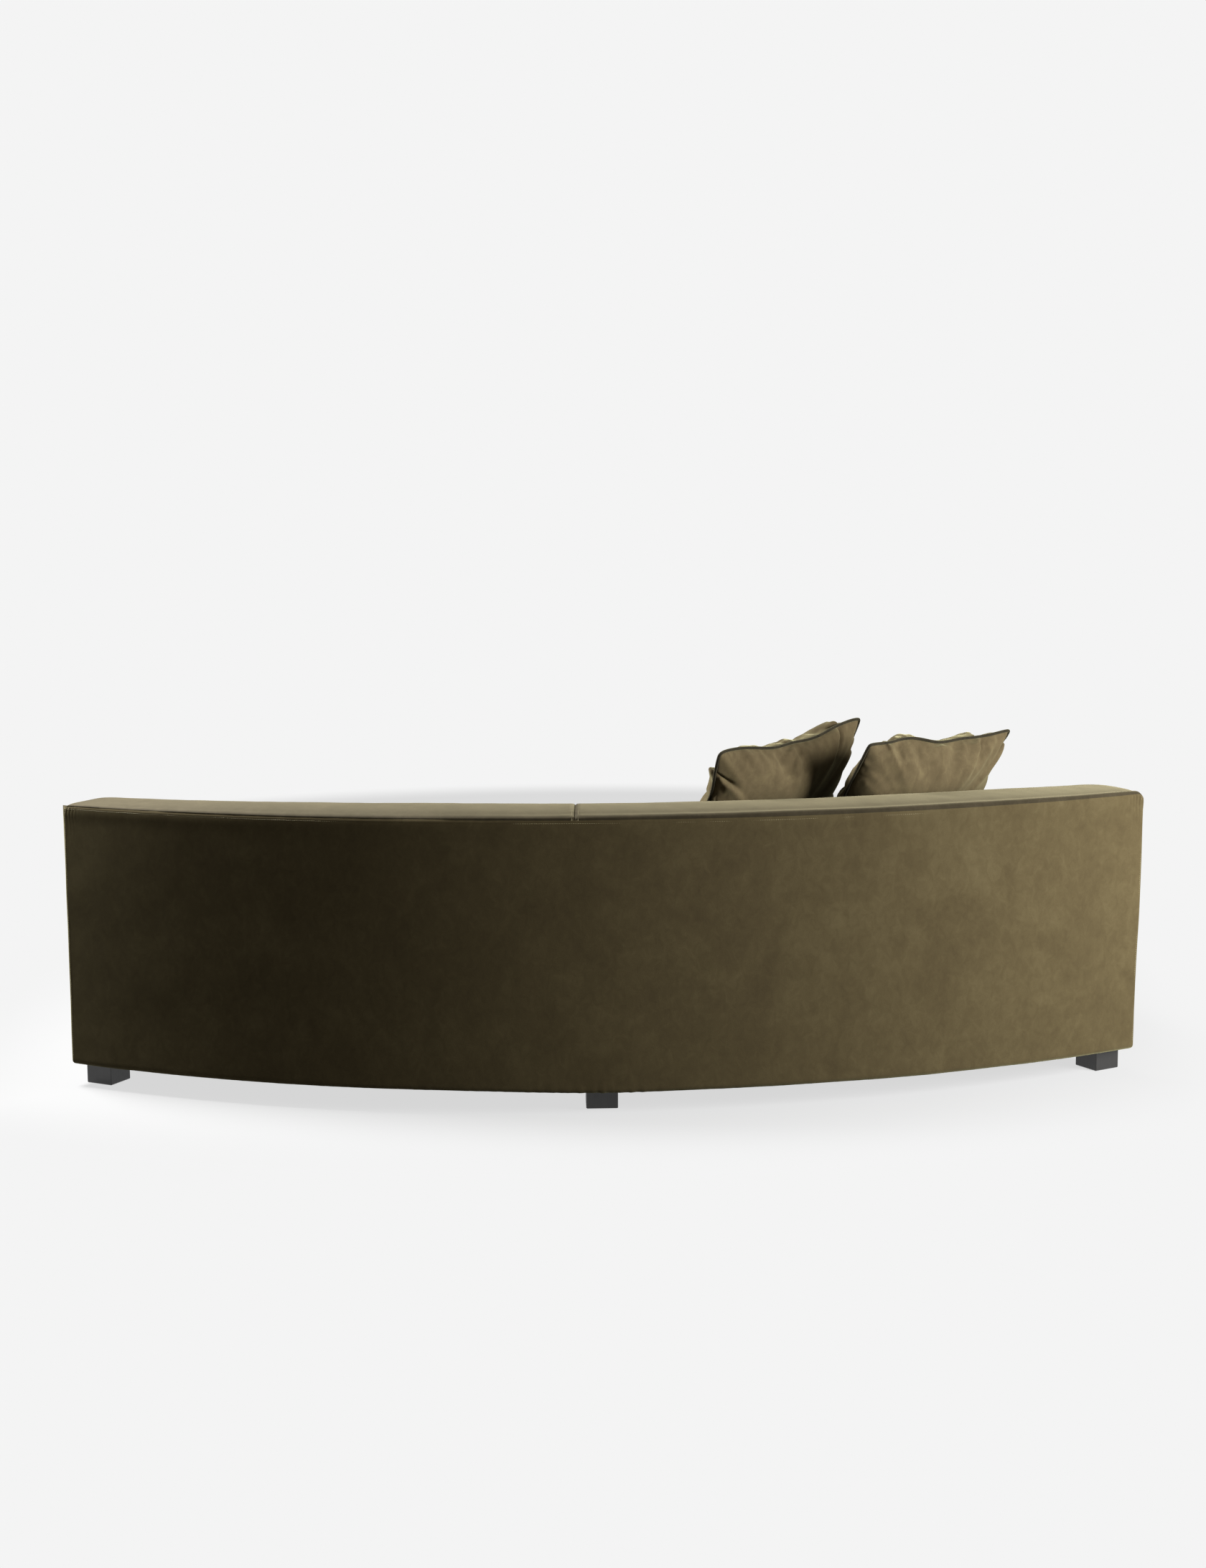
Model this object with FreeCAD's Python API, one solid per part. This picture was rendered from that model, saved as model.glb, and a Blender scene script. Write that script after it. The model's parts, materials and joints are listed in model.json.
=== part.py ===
import FreeCAD, Part
import math
import os

# A curved sofa, in millimetres. +Z is up, the sitter faces -Y, and the sitter's left is +X.
# Everything is built about the vertical axis of the back's arc, where a piece has a radius r, a height z
# and an angle from +Y towards +X. At the end the whole sofa is moved so that its origin is the centre of
# its bounding box, on the floor.

# Overall form
back_width = 2740.0        # straight across the two rear corners
back_radius = 2850.0       # outside face of the back
body_depth = 960.0         # from the outside face of the back to the front border, along a radius
underside_height = 62.0    # floor to the underside
seam_height = 725.0        # floor to the seam between the outside back and the top roll
roll_rise = 20.5           # crown of the roll above that seam
roll_crown = 110.0         # from the outside face to that crown; from there the roll falls towards the sitter
roll_shoulder = 20.0       # how far in each rounded shoulder of the roll reaches
roll_lip = 19.0            # the roll's inner lip turns this far below the seam's height
shoulder_share = 0.76      # height of the outer shoulder, of the roll's rise
inner_shoulder_share = 0.1
shoulder_fullness = 0.3    # how far the shoulders' rounds stand out from the chord towards their corner
deck_height = 285.0        # floor to the deck under the seat cushions
back_thickness = 247.0     # outside face to the inside back, at the roll
back_rake = 21.0           # how much thicker the back is at the deck
bottom_roll_radius = 12.0  # rounding where covers turn under the body
front_edge_radius = 16.5   # rounding of the front border's upper edge
seam_offset = 84.0         # roll's seam, along the arc from the centre towards the sitter's left

# Layers and sheets
fabric = 1.5
back_wadding = 8.0
back_board = 4.0
front_padding = 20.5
end_padding = 12.0
deck_padding = 22.0
turn_under = 40.0          # width of the cover turned under the frame
soft_gap = 0.3             # between soft solids of different bodies
roll_lengths = 16          # the roll's foam is laid in lengths, butted end to end
border_lengths = 8         # and so is the front border's

# Frame
panel = 22.0               # plywood frames, top rail and back stretcher
timber = 45.0              # rails and blocks
frame_depth = 190.0        # outside face of the back to the frame's inner edge
rear_rail_height = 126.0
seat_rail_height = 56.0
stretcher_height = 70.0
stretcher_centre = 465.0
roll_padding = 23.0        # top of the frame below the roll's seam
corner_block_height = 55.0

# Seat suspension
spring_wire = 3.8
spring_width = 50.0
spring_loops = 18
springs_per_bay = 4
spring_margin = 8.0        # clear space beside the outer springs of a bay
spring_inset = 18.0        # end bar of a spring from the front rail's outer face
tie_wire = 2.6
wire_gap = 0.3
clip_length = 22.0
clip_width = 14.0
clip_wall = 1.5
clip_fit = 0.1

# Back webbing
webbing = 2.0
webbing_width = 50.0
webbing_count = 5

# Feet
foot_side = 78.0
foot_inset = 42.0          # from the body's outer face
foot_end_inset = 14.0      # from the end of the body
centre_foot_offset = 22.0  # from the centre towards the sitter's left
foot_chamfer = 2.0
foot_block_side = 90.0
foot_block_height = 45.0
bolt_radius = 5.0
bolt_engagement = 34.0     # depth of the bolt in the foot
bolt_end = 4.0             # stands above its nut
hole_room = 1.0            # below the end of a bolt
block_clearance = 6.0      # between a bolt's end and the corner block over it
bolt_fit = 0.1
nut_across_flats = 17.0
nut_height = 8.0
washer_radius = 10.0
washer_thickness = 2.0
leveller_disc_radius = 16.5
leveller_disc = 4.0
leveller_edge = 1.0        # rounding of the disc
leveller_stem_radius = 4.0
leveller_stem = 20.0
leveller_travel_room = 2.0
insert_wall = 2.0
insert_fit = 0.05

# Seat cushions
cushion_border = 130.0     # height of a cushion at its welt
cushion_crown = 22.0
cushion_end_drop = 6.0     # the welt dips towards the ends
cushion_bulge = 6.0        # borders swell at half height
cushion_draw = 7.0         # long sides pull in between the corners
cushion_edge_crown = 1.0   # crown left at the very ends
cushion_roundness = 0.7    # under 1, the crown stays full nearer to the ends
cushion_sections = 9
cushion_front_inset = 3.0
cushion_back_gap = 4.0
cushion_gap = 5.0          # between the two cushions
cushion_end_gap = 8.0

# Scatter pillows
pillow_side = 508.0
pillow_thickness = 150.0
pillow_seam = 5.0          # thickness at the seam
pillow_corner = 26.0
pillow_roundness = 0.7     # under 1, the pillow is fuller near its seam
pillow_crown_corner = 0.8  # how round the outlines between the seam and the crown are
pillow_levels = (1.0, 0.955, 0.88, 0.76, 0.58, 0.36)  # outlines from the seam to the flat of the crown
piping_radius = 4.0
piping_gap = 0.3
pillow_fabric = 1.2
pillow_lean_gap = 1.5      # between a pillow and the back that it leans on, whose padding gives a little

# Each scatter pillow: how far along the back its centre stands from the sofa's centre, the degrees that it is turned
# from the back, leans back and is tipped onto one corner, and how far its sides pull in
inner_pillow = {"along": 480.0, "turn": 33.4, "lean": 32.0, "tip": 6.0, "pull": 19.0}
outer_pillow = {"along": 925.0, "turn": 16.0, "lean": 32.5, "tip": -1.0, "pull": 17.0}

# Worked out from the sizes above
half_angle = math.degrees(math.asin(back_width / 2 / back_radius))
front_radius = back_radius - body_depth
wadding_radius = back_radius - fabric
board_radius = wadding_radius - back_wadding
frame_radius = board_radius - back_board
frame_inner_radius = back_radius - frame_depth
rear_rail_inner = frame_radius - timber
seat_rail_inner = frame_inner_radius - timber
front_rail_radius = front_radius + fabric + front_padding
front_rail_inner = front_rail_radius + timber
roll_inner_radius = back_radius - back_thickness
deck_back_radius = roll_inner_radius - back_rake
roll_top = seam_height + roll_rise
frame_bottom = underside_height + fabric
frame_top = seam_height - roll_padding
deck_pad_top = deck_height - fabric
deck_pad_bottom = deck_pad_top - deck_padding
tie_height = deck_pad_bottom - wire_gap - tie_wire / 2
spring_height = tie_height - tie_wire / 2 - wire_gap - spring_wire / 2
seat_frame_top = spring_height - spring_wire / 2 - clip_wall
end_frame_outer = fabric + end_padding
end_frame_inner = end_frame_outer + panel
tall = roll_top + 100.0
wide = back_radius + 200.0


def rz(r, z):
    """A point of a section, which lies in the plane of +Y and +Z."""
    return FreeCAD.Vector(0, r, z)


def polygon(points):
    """A flat face through section points."""
    corners = [rz(r, z) for r, z in points]
    return Part.Face(Part.makePolygon(corners + corners[:1]))


def block(r0, r1, z0, z1):
    """A rectangular section."""
    return polygon([(r0, z0), (r1, z0), (r1, z1), (r0, z1)])


def line(a, b):
    return Part.LineSegment(rz(*a), rz(*b)).toShape()


def arc(a, middle, b):
    return Part.Arc(rz(*a), rz(*middle), rz(*b)).toShape()


def quarter(a, b, centre, radius):
    """A quarter round from a to b about a centre."""
    middle_r = (a[0] + b[0]) / 2 - centre[0]
    middle_z = (a[1] + b[1]) / 2 - centre[1]
    scale = radius / math.hypot(middle_r, middle_z)
    return arc(a, (centre[0] + middle_r * scale, centre[1] + middle_z * scale), b)


def inside_back_radius(z):
    """Radius of the inside back's face at a height."""
    share = (z - deck_height) / (frame_top - deck_height)
    share = min(max(share, 0.0), 1.0)
    return deck_back_radius + back_rake * share ** 2


def rounded_middle(shoulder, edge):
    """The middle of the round between a shoulder and the edge below it."""
    chord = ((shoulder[0] + edge[0]) / 2, (shoulder[1] + edge[1]) / 2)
    corner = (edge[0], shoulder[1])
    return tuple(c + (k - c) * shoulder_fullness for c, k in zip(chord, corner))


def body_section(inset):
    """The sofa's whole section with every face moved in by inset."""
    front, rear = front_radius + inset, back_radius - inset
    bottom, deck = underside_height + inset, deck_height - inset
    low, edge = bottom_roll_radius - inset, front_edge_radius - inset
    middle_z = (deck_height + frame_top) / 2
    foot_of_back = (deck_back_radius + inset, deck)
    middle_of_back = (inside_back_radius(middle_z) + inset, middle_z)
    head_of_back = (roll_inner_radius + inset, frame_top)
    inner_lip = (roll_inner_radius + inset, seam_height - roll_lip)
    inner_shoulder = (roll_inner_radius + roll_shoulder, seam_height + roll_rise * inner_shoulder_share - inset)
    crown = (back_radius - roll_crown, roll_top - inset)
    outer_shoulder = (back_radius - roll_shoulder, seam_height + roll_rise * shoulder_share - inset)
    seam = (rear, seam_height)
    inner_turn = rounded_middle(inner_shoulder, inner_lip)
    outer_turn = rounded_middle(outer_shoulder, seam)
    return Part.Face(Part.Wire([
        line((front + low, bottom), (rear - low, bottom)),
        quarter((rear - low, bottom), (rear, bottom + low), (rear - low, bottom + low), low),
        line((rear, bottom + low), seam),
        arc(seam, outer_turn, outer_shoulder),
        arc(outer_shoulder, crown, inner_shoulder),
        arc(inner_shoulder, inner_turn, inner_lip),
        line(inner_lip, head_of_back),
        arc(head_of_back, middle_of_back, foot_of_back),
        line(foot_of_back, (front + edge, deck)),
        quarter((front + edge, deck), (front, deck - edge), (front + edge, deck - edge), edge),
        line((front, deck - edge), (front, bottom + low)),
        quarter((front, bottom + low), (front + low, bottom), (front + low, bottom + low), low),
    ]))


outline = body_section(0)
filling = body_section(fabric)
skin = outline.cut(filling)


def frame_section(seat_top, notched):
    """An L-shaped frame's section: seat part, and back part up to the top rail."""
    shape = block(front_rail_radius, frame_radius, frame_bottom, seat_top)
    shape = shape.fuse(block(frame_inner_radius, frame_radius, frame_bottom, frame_top))
    if notched:
        shape = shape.cut(block(front_rail_radius - 1, front_rail_inner, 0, tall))
        shape = shape.cut(block(rear_rail_inner, frame_radius + 1, 0, frame_bottom + rear_rail_height))
        shape = shape.cut(block(seat_rail_inner, frame_inner_radius, seat_frame_top - seat_rail_height, tall))
        shape = shape.cut(block(frame_radius - panel, frame_radius + 1, stretcher_bottom, stretcher_top))
        shape = shape.cut(block(0, wide, frame_top - panel, tall))
    return shape.removeSplitter()


stretcher_bottom = stretcher_centre - stretcher_height / 2
stretcher_top = stretcher_centre + stretcher_height / 2


def about_axis(shape, angle):
    """Turns a shape about the arc's axis, by an angle from +Y towards +X."""
    turned = shape.copy()
    turned.rotate(FreeCAD.Vector(0, 0, 0), FreeCAD.Vector(0, 0, 1), -angle)
    return turned


def swept(face, start, end):
    """A section swept round the arc's axis between two angles."""
    return about_axis(face, end).revolve(FreeCAD.Vector(0, 0, 0), FreeCAD.Vector(0, 0, 1), end - start)


def slab_box(angle, x0, x1):
    """The space between two planes parallel to the radial plane at an angle."""
    return about_axis(Part.makeBox(x1 - x0, wide, tall, FreeCAD.Vector(x0, 0, -50)), angle)


def span(face, inset=0.0, start=None, end=None, middle_gap=0.0):
    """A section swept along the sofa. Its outer ends stop at planes set in from the ends of the body, and an end
    at the sofa's centre stops half of middle_gap from the centre plane."""
    first = -half_angle if start is None else start
    last = half_angle if end is None else end
    solid = swept(face, first, last)
    if inset > 0 and start is None:
        solid = solid.cut(slab_box(-half_angle, -wide, inset))
    if inset > 0 and end is None:
        solid = solid.cut(slab_box(half_angle, -inset, wide))
    if middle_gap > 0:
        solid = solid.cut(slab_box(0, -middle_gap / 2, middle_gap / 2))
    return solid


def in_lengths(face, inset, count):
    """A section swept along the sofa in equal lengths, butted end to end."""
    step = 2 * half_angle / count
    pieces = []
    for i in range(count):
        start = None if i == 0 else -half_angle + i * step
        end = None if i == count - 1 else -half_angle + (i + 1) * step
        pieces.append(span(face, inset, start, end))
    return pieces


def plate(face, angle, x0, x1):
    """A section made into a flat plate between two planes parallel to the radial plane at an angle."""
    reach = math.degrees(max(abs(x0), abs(x1)) / front_radius) + 0.5
    return swept(face, angle - reach, angle + reach).common(slab_box(angle, x0, x1))


def at_end(side, face, near, far):
    """A plate set in from one end of the body, from near to far. side is 1 at the sitter's left, -1 at the right."""
    if side > 0:
        return plate(face, half_angle, -far, -near)
    return plate(face, -half_angle, near, far)


def upright(radius, x, r, z0, z1, angle):
    """A vertical cylinder at a local place beside the radial plane at an angle."""
    return about_axis(Part.makeCylinder(radius, z1 - z0, FreeCAD.Vector(x, r, z0)), angle)


def cut_all(shape, tools):
    for tool in tools:
        shape = shape.cut(tool)
    return shape


parts = {}
bodies = {}


def add(name, shape, body="root"):
    """Keeps a node's solids under its name, and the body that it moves with."""
    solids = shape if isinstance(shape, list) else [shape]
    solids = [one for item in solids for one in item.Solids]
    parts[name] = Part.makeCompound(solids) if len(solids) > 1 else solids[0]
    bodies.setdefault(body, []).append(name)


# Where the feet stand: the plane each is set against, and its centre's distance from that plane
feet_places = {
    "left": (half_angle, -(foot_end_inset + foot_side / 2)),
    "centre": (0.0, centre_foot_offset),
    "right": (-half_angle, foot_end_inset + foot_side / 2),
}
rear_foot_radius = back_radius - foot_inset - foot_side / 2
front_foot_radius = front_radius + foot_inset + foot_side / 2
bolt_top = frame_bottom + foot_block_height + washer_thickness + nut_height + bolt_end
foot_rows = {"rear": rear_foot_radius, "front": front_foot_radius}


def foot_spots():
    """Every foot's name, plane angle, local place and radius."""
    for row, radius in foot_rows.items():
        for place, (angle, x) in feet_places.items():
            yield row, place, angle, x, radius


def make_frame():
    """Rails, L-shaped frames and the blocks glued into their corners."""
    rear_rail = block(rear_rail_inner, frame_radius, frame_bottom, frame_bottom + rear_rail_height)
    front_rail = block(front_rail_radius, front_rail_inner, frame_bottom, seat_frame_top)
    seat_rail = block(seat_rail_inner, frame_inner_radius, seat_frame_top - seat_rail_height, seat_frame_top)
    top_rail = block(frame_inner_radius, frame_radius, frame_top - panel, frame_top)
    stretcher = block(frame_radius - panel, frame_radius, stretcher_bottom, stretcher_top)
    for name, section in (("rear_bottom_rail", rear_rail), ("front_rail", front_rail),
                          ("rear_seat_rail", seat_rail), ("top_back_rail", top_rail),
                          ("back_stretcher", stretcher)):
        add(name, span(section, end_frame_inner))
    notched = frame_section(seat_frame_top, True)
    for name, angle in (("centre_frame", 0.0), ("middle_frame_left", half_angle / 2),
                        ("middle_frame_right", -half_angle / 2)):
        add(name, plate(notched, angle, -panel / 2, panel / 2))
    whole = frame_section(deck_pad_bottom, False)
    add("end_frame_left", at_end(1, whole, end_frame_outer, end_frame_inner))
    add("end_frame_right", at_end(-1, whole, end_frame_outer, end_frame_inner))


def make_blocks():
    """Blocks over the feet, and the smaller blocks glued in the corners above them."""
    foot_blocks = []
    corner_blocks = []
    block_top = frame_bottom + foot_block_height
    for row, place, angle, x, radius in foot_spots():
        if place == "centre":
            x0 = panel / 2
            x1 = x0 + foot_block_side
        elif place == "left":
            x0, x1 = -end_frame_inner - foot_block_side, -end_frame_inner
        else:
            x0, x1 = end_frame_inner, end_frame_inner + foot_block_side
        r0, r1 = rail_side(row, foot_block_side)
        body = plate(block(r0, r1, frame_bottom, block_top), angle, x0, x1)
        bore = upright(bolt_radius + bolt_fit, x, radius, 0, tall, angle)
        foot_blocks.append(body.cut(bore))
    low = bolt_top + block_clearance
    sides = [(angle, sign * panel / 2, sign * (panel / 2 + timber))
             for angle in (0.0, half_angle / 2, -half_angle / 2) for sign in (-1, 1)]
    sides.append((half_angle, -end_frame_inner, -end_frame_inner - timber))
    sides.append((-half_angle, end_frame_inner, end_frame_inner + timber))
    for angle, a, b in sides:
        for row in foot_rows:
            r0, r1 = rail_side(row, timber)
            section = block(r0, r1, low, low + corner_block_height)
            corner_blocks.append(plate(section, angle, min(a, b), max(a, b)))
    add("foot_blocks", foot_blocks)
    add("corner_blocks", corner_blocks)


def rail_side(row, depth):
    """Radii of a block of some depth that lies against the rear or the front rail."""
    if row == "rear":
        return rear_rail_inner - depth, rear_rail_inner
    return front_rail_inner, front_rail_inner + depth


def make_feet():
    """Six block feet with their bolts, nuts and washers; the two centre feet stand on levellers."""
    bolts = []
    nuts = []
    washers = []
    inserts = []
    block_top = frame_bottom + foot_block_height
    for row, place, angle, x, radius in foot_spots():
        level = leveller_disc if place == "centre" else 0.0
        body = Part.makeBox(foot_side, foot_side, underside_height - level,
                            FreeCAD.Vector(x - foot_side / 2, radius - foot_side / 2, level))
        rims = [edge for edge in body.Edges if edge.BoundBox.ZMax < level + 0.01 or edge.BoundBox.ZLength > 1]
        body = about_axis(body.makeChamfer(foot_chamfer, rims), angle)
        hole_bottom = underside_height - bolt_engagement - hole_room
        body = body.cut(upright(bolt_radius + bolt_fit, x, radius, hole_bottom, tall, angle))
        bolts.append(upright(bolt_radius, x, radius, underside_height - bolt_engagement, bolt_top, angle))
        washers.append(ring(washer_radius, bolt_radius + bolt_fit, x, radius, block_top,
                            washer_thickness, angle))
        nuts.append(hexagon_nut(x, radius, block_top + washer_thickness, angle))
        if place == "centre":
            insert_outer = leveller_stem_radius + insert_wall
            hole_top = level + leveller_stem + leveller_travel_room
            body = body.cut(upright(insert_outer + insert_fit, x, radius, 0, hole_top, angle))
            inserts.append(ring(insert_outer, leveller_stem_radius + insert_fit, x, radius, level,
                                leveller_stem, angle))
            disc = upright(leveller_disc_radius, x, radius, 0, leveller_disc, angle)
            rim = [edge for edge in disc.Edges if edge.BoundBox.ZMax < 0.01]
            disc = disc.makeFillet(leveller_edge, rim)
            stem = upright(leveller_stem_radius, x, radius, leveller_disc - leveller_edge, level + leveller_stem, angle)
            add("leveller_" + row, disc.fuse(stem).removeSplitter(), "leveller_" + row)
        add("foot_" + row + "_" + place, body)
    add("foot_bolts", bolts)
    add("foot_nuts", nuts)
    add("foot_washers", washers)
    add("leveller_inserts", inserts)


def ring(outer, inner, x, radius, z, height, angle):
    """An upright ring with a bore."""
    bore = upright(inner, x, radius, z - 1, z + height + 1, angle)
    return upright(outer, x, radius, z, z + height, angle).cut(bore)


def hexagon_nut(x, radius, z, angle):
    """A hexagon nut with its bore."""
    corner = nut_across_flats / math.sqrt(3)
    points = [FreeCAD.Vector(x + corner * math.cos(math.radians(60 * i)),
                             radius + corner * math.sin(math.radians(60 * i)), z) for i in range(7)]
    body = Part.Face(Part.makePolygon(points)).extrude(FreeCAD.Vector(0, 0, nut_height))
    bore = upright(bolt_radius + bolt_fit, x, radius, z - 1, z + nut_height + 1, angle)
    return about_axis(body, angle).cut(bore)


front_bar = front_rail_radius + spring_inset
rear_bar = frame_inner_radius - timber / 2


def spring_angles():
    """Four springs in each bay between frames, evenly spaced and clear of the frames."""
    def turn(distance):
        return math.degrees(distance / front_bar)
    beside_frame = turn(panel / 2 + spring_margin + spring_width / 2)
    beside_end = turn(end_frame_inner + spring_margin + spring_width / 2)
    for side in (-1, 1):
        bays = ((beside_frame, half_angle / 2 - beside_frame),
                (half_angle / 2 + beside_frame, half_angle - beside_end))
        for first, last in bays:
            for i in range(springs_per_bay):
                share = i / (springs_per_bay - 1) if springs_per_bay > 1 else 0.5
                yield side * (first + (last - first) * share)


def sinuous_spring():
    """One zigzag spring from the front rail to the rear seat rail, on the centre plane."""
    pitch = (rear_bar - front_bar) / spring_loops
    turn_radius = pitch / 2
    half_bar = spring_width / 2 - turn_radius
    edges = []
    start = FreeCAD.Vector(-half_bar, front_bar, spring_height)
    for i in range(spring_loops + 1):
        y = front_bar + i * pitch
        side = 1 if i % 2 == 0 else -1
        end = FreeCAD.Vector(side * half_bar, y, spring_height)
        edges.append(Part.LineSegment(start, end).toShape())
        if i < spring_loops:
            far = FreeCAD.Vector(side * (half_bar + turn_radius), y + turn_radius, spring_height)
            start = FreeCAD.Vector(side * half_bar, y + pitch, spring_height)
            edges.append(Part.Arc(end, far, start).toShape())
    path = Part.Wire(edges)
    first = FreeCAD.Vector(-half_bar, front_bar, spring_height)
    circle = Part.Circle(first, FreeCAD.Vector(1, 0, 0), spring_wire / 2)
    return path.makePipeShell([Part.Wire(circle.toShape())], True, False)


def spring_clip(radius):
    """A clip over a spring's end bar, screwed down on a rail, on the centre plane."""
    height = spring_wire + 2 * clip_wall
    body = Part.makeBox(clip_width, clip_length, height,
                        FreeCAD.Vector(-clip_width / 2, radius - clip_length / 2, seat_frame_top))
    channel = Part.makeCylinder(spring_wire / 2 + clip_fit, clip_width + 2,
                                FreeCAD.Vector(-clip_width / 2 - 1, radius, spring_height), FreeCAD.Vector(1, 0, 0))
    return body.cut(channel)


def make_suspension():
    """Springs, the clips that hold their ends, the two wires over them, and the deck that they carry."""
    spring = sinuous_spring()
    angles = list(spring_angles())
    add("seat_springs", [about_axis(spring, angle) for angle in angles])
    add("spring_clips", [about_axis(spring_clip(radius), angle) for angle in angles
                         for radius in (front_bar, rear_bar)])
    ties = []
    for share in (1 / 3, 2 / 3):
        radius = front_bar + (rear_bar - front_bar) * share
        circle = Part.Circle(rz(radius, tie_height), FreeCAD.Vector(1, 0, 0), tie_wire / 2)
        ties.append(span(Part.Face(Part.Wire(circle.toShape())), end_frame_inner + spring_margin))
    add("spring_tie_wires", ties)
    pad = block(front_rail_inner, frame_inner_radius - webbing, deck_pad_bottom, deck_pad_top)
    add("deck_pad", span(pad.common(filling), fabric))


def make_padding():
    """Foam, wadding, webbing and the board under the covers."""
    low = underside_height + bottom_roll_radius
    add("outside_back_board", span(block(frame_radius, board_radius, low, frame_top), fabric))
    add("outside_back_wadding", span(block(board_radius, wadding_radius, low, frame_top), fabric))
    foot_of_foam = deck_pad_top
    foam = filling.common(block(0, frame_inner_radius - webbing, foot_of_foam, frame_top))
    foam = foam.common(block(deck_back_radius, wide, 0, tall))
    add("inside_back_foam_left", span(foam, fabric, start=0))
    add("inside_back_foam_right", span(foam, fabric, end=0))
    add("top_roll_foam", in_lengths(filling.common(block(0, wide, frame_top, tall)), fabric, roll_lengths))
    front = block(0, front_rail_radius, frame_bottom, tall).fuse(block(0, front_rail_inner, deck_pad_bottom, tall))
    add("front_border_foam", in_lengths(filling.common(front.removeSplitter()), fabric, border_lengths))
    whole = frame_section(deck_pad_bottom, False)
    add("end_pad_left", at_end(1, whole, fabric, end_frame_outer))
    add("end_pad_right", at_end(-1, whole, fabric, end_frame_outer))
    bands = []
    lowest = deck_height + webbing_width / 2
    pitch = (frame_top - panel - webbing_width - lowest) / (webbing_count - 1)
    for i in range(webbing_count):
        z = lowest + i * pitch
        band = block(frame_inner_radius - webbing, frame_inner_radius, z, z + webbing_width)
        bands.append(span(band, end_frame_outer))
    add("back_webbing", bands)


def make_covers():
    """The body's upholstery: the skin of its section, parted at the seams."""
    turned = turn_under + fabric
    rear_edge = back_radius - turned
    front_edge = front_radius + turned
    behind = (roll_inner_radius + back_radius) / 2
    seam_angle = math.degrees(seam_offset / back_radius)
    outside = block(rear_edge, wide, 0, frame_bottom).fuse(block(behind, wide, frame_bottom, seam_height))
    add("outside_back_cover", span(skin.common(outside.removeSplitter())))
    roll = skin.common(block(behind, wide, seam_height, tall).fuse(block(0, behind, frame_top, tall)))
    add("top_roll_cover_left", span(roll.removeSplitter(), start=seam_angle))
    add("top_roll_cover_right", span(roll.removeSplitter(), end=seam_angle))
    inside = skin.common(block(0, behind, deck_height, frame_top))
    add("inside_back_cover_left", span(inside, start=0))
    add("inside_back_cover_right", span(inside, end=0))
    seat_side = block(front_rail_inner, behind, deck_pad_bottom, deck_height)
    add("deck_cover", span(skin.common(seat_side)))
    front = block(0, front_rail_inner, deck_pad_bottom, deck_height)
    front = front.fuse(block(0, front_edge, 0, deck_height))
    add("front_border_cover", span(skin.common(front.removeSplitter())))
    add("end_cover_left", at_end(1, filling, 0, fabric))
    add("end_cover_right", at_end(-1, filling, 0, fabric))
    dust = span(skin.common(block(front_edge, rear_edge, 0, frame_bottom)))
    holes = [upright(bolt_radius + bolt_fit, x, radius, 0, tall, angle)
             for row, place, angle, x, radius in foot_spots()]
    add("dust_cover", cut_all(dust, holes))


def cushion_section(t, inset):
    """A seat cushion's section a share t, from -1 to 1, of the way between its ends."""
    fullness = 1 - t * t
    r0 = front_radius + cushion_front_inset + cushion_bulge + cushion_draw * fullness + inset
    r1 = deck_back_radius - cushion_back_gap - cushion_bulge - cushion_draw * fullness - inset
    z0 = deck_height + soft_gap + inset
    z1 = deck_height + soft_gap + cushion_border - cushion_end_drop * t * t - inset
    crown = z1 + cushion_crown * fullness ** cushion_roundness + cushion_edge_crown
    middle_r, middle_z = (r0 + r1) / 2, (z0 + z1) / 2
    bulge = cushion_bulge
    return Part.Wire([
        line((r0, z0), (r1, z0)),
        arc((r1, z0), (r1 + bulge, middle_z), (r1, z1)),
        arc((r1, z1), (middle_r, crown), (r0, z1)),
        arc((r0, z1), (r0 - bulge, middle_z), (r0, z0)),
    ])


def cushion_form(start, end, inset):
    """A crowned seat cushion between two angles."""
    trim = math.degrees(inset / front_radius)
    first, last = start + trim, end - trim
    sections = []
    for i in range(cushion_sections):
        t = -1 + 2 * i / (cushion_sections - 1)
        angle = (first + last) / 2 + t * (last - first) / 2
        sections.append(about_axis(cushion_section(t, inset), angle))
    return Part.makeLoft(sections, True, False)


cushion_middle = math.degrees(cushion_gap / 2 / (front_radius + cushion_front_inset))
cushion_end = half_angle - math.degrees(cushion_end_gap / (front_radius + cushion_front_inset))


def make_cushions():
    """Two loose seat cushions: a cover and the foam in it."""
    for side, start, end in (("left", cushion_middle, cushion_end), ("right", -cushion_end, -cushion_middle)):
        body = "seat_cushion_" + side
        core = cushion_form(start, end, fabric)
        add(body + "_cover", cushion_form(start, end, 0).cut(core), body)
        add(body + "_foam", core, body)


def cushion_top(x, y):
    """Height of the right seat cushion's crown over a point of the plan."""
    angle = -math.degrees(math.atan2(x, y))
    t = (2 * angle - cushion_middle - cushion_end) / (cushion_end - cushion_middle)
    if abs(t) >= 1:
        return deck_height
    fullness = 1 - t * t
    r0 = front_radius + cushion_front_inset + cushion_bulge
    r1 = deck_back_radius - cushion_back_gap - cushion_bulge
    across = (2 * math.hypot(x, y) - r0 - r1) / (r1 - r0)
    if abs(across) >= 1:
        return deck_height
    welt = deck_height + soft_gap + cushion_border - cushion_end_drop * t * t
    rise = cushion_crown * fullness ** cushion_roundness + cushion_edge_crown
    return welt + rise * (1 - across * across)


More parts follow.
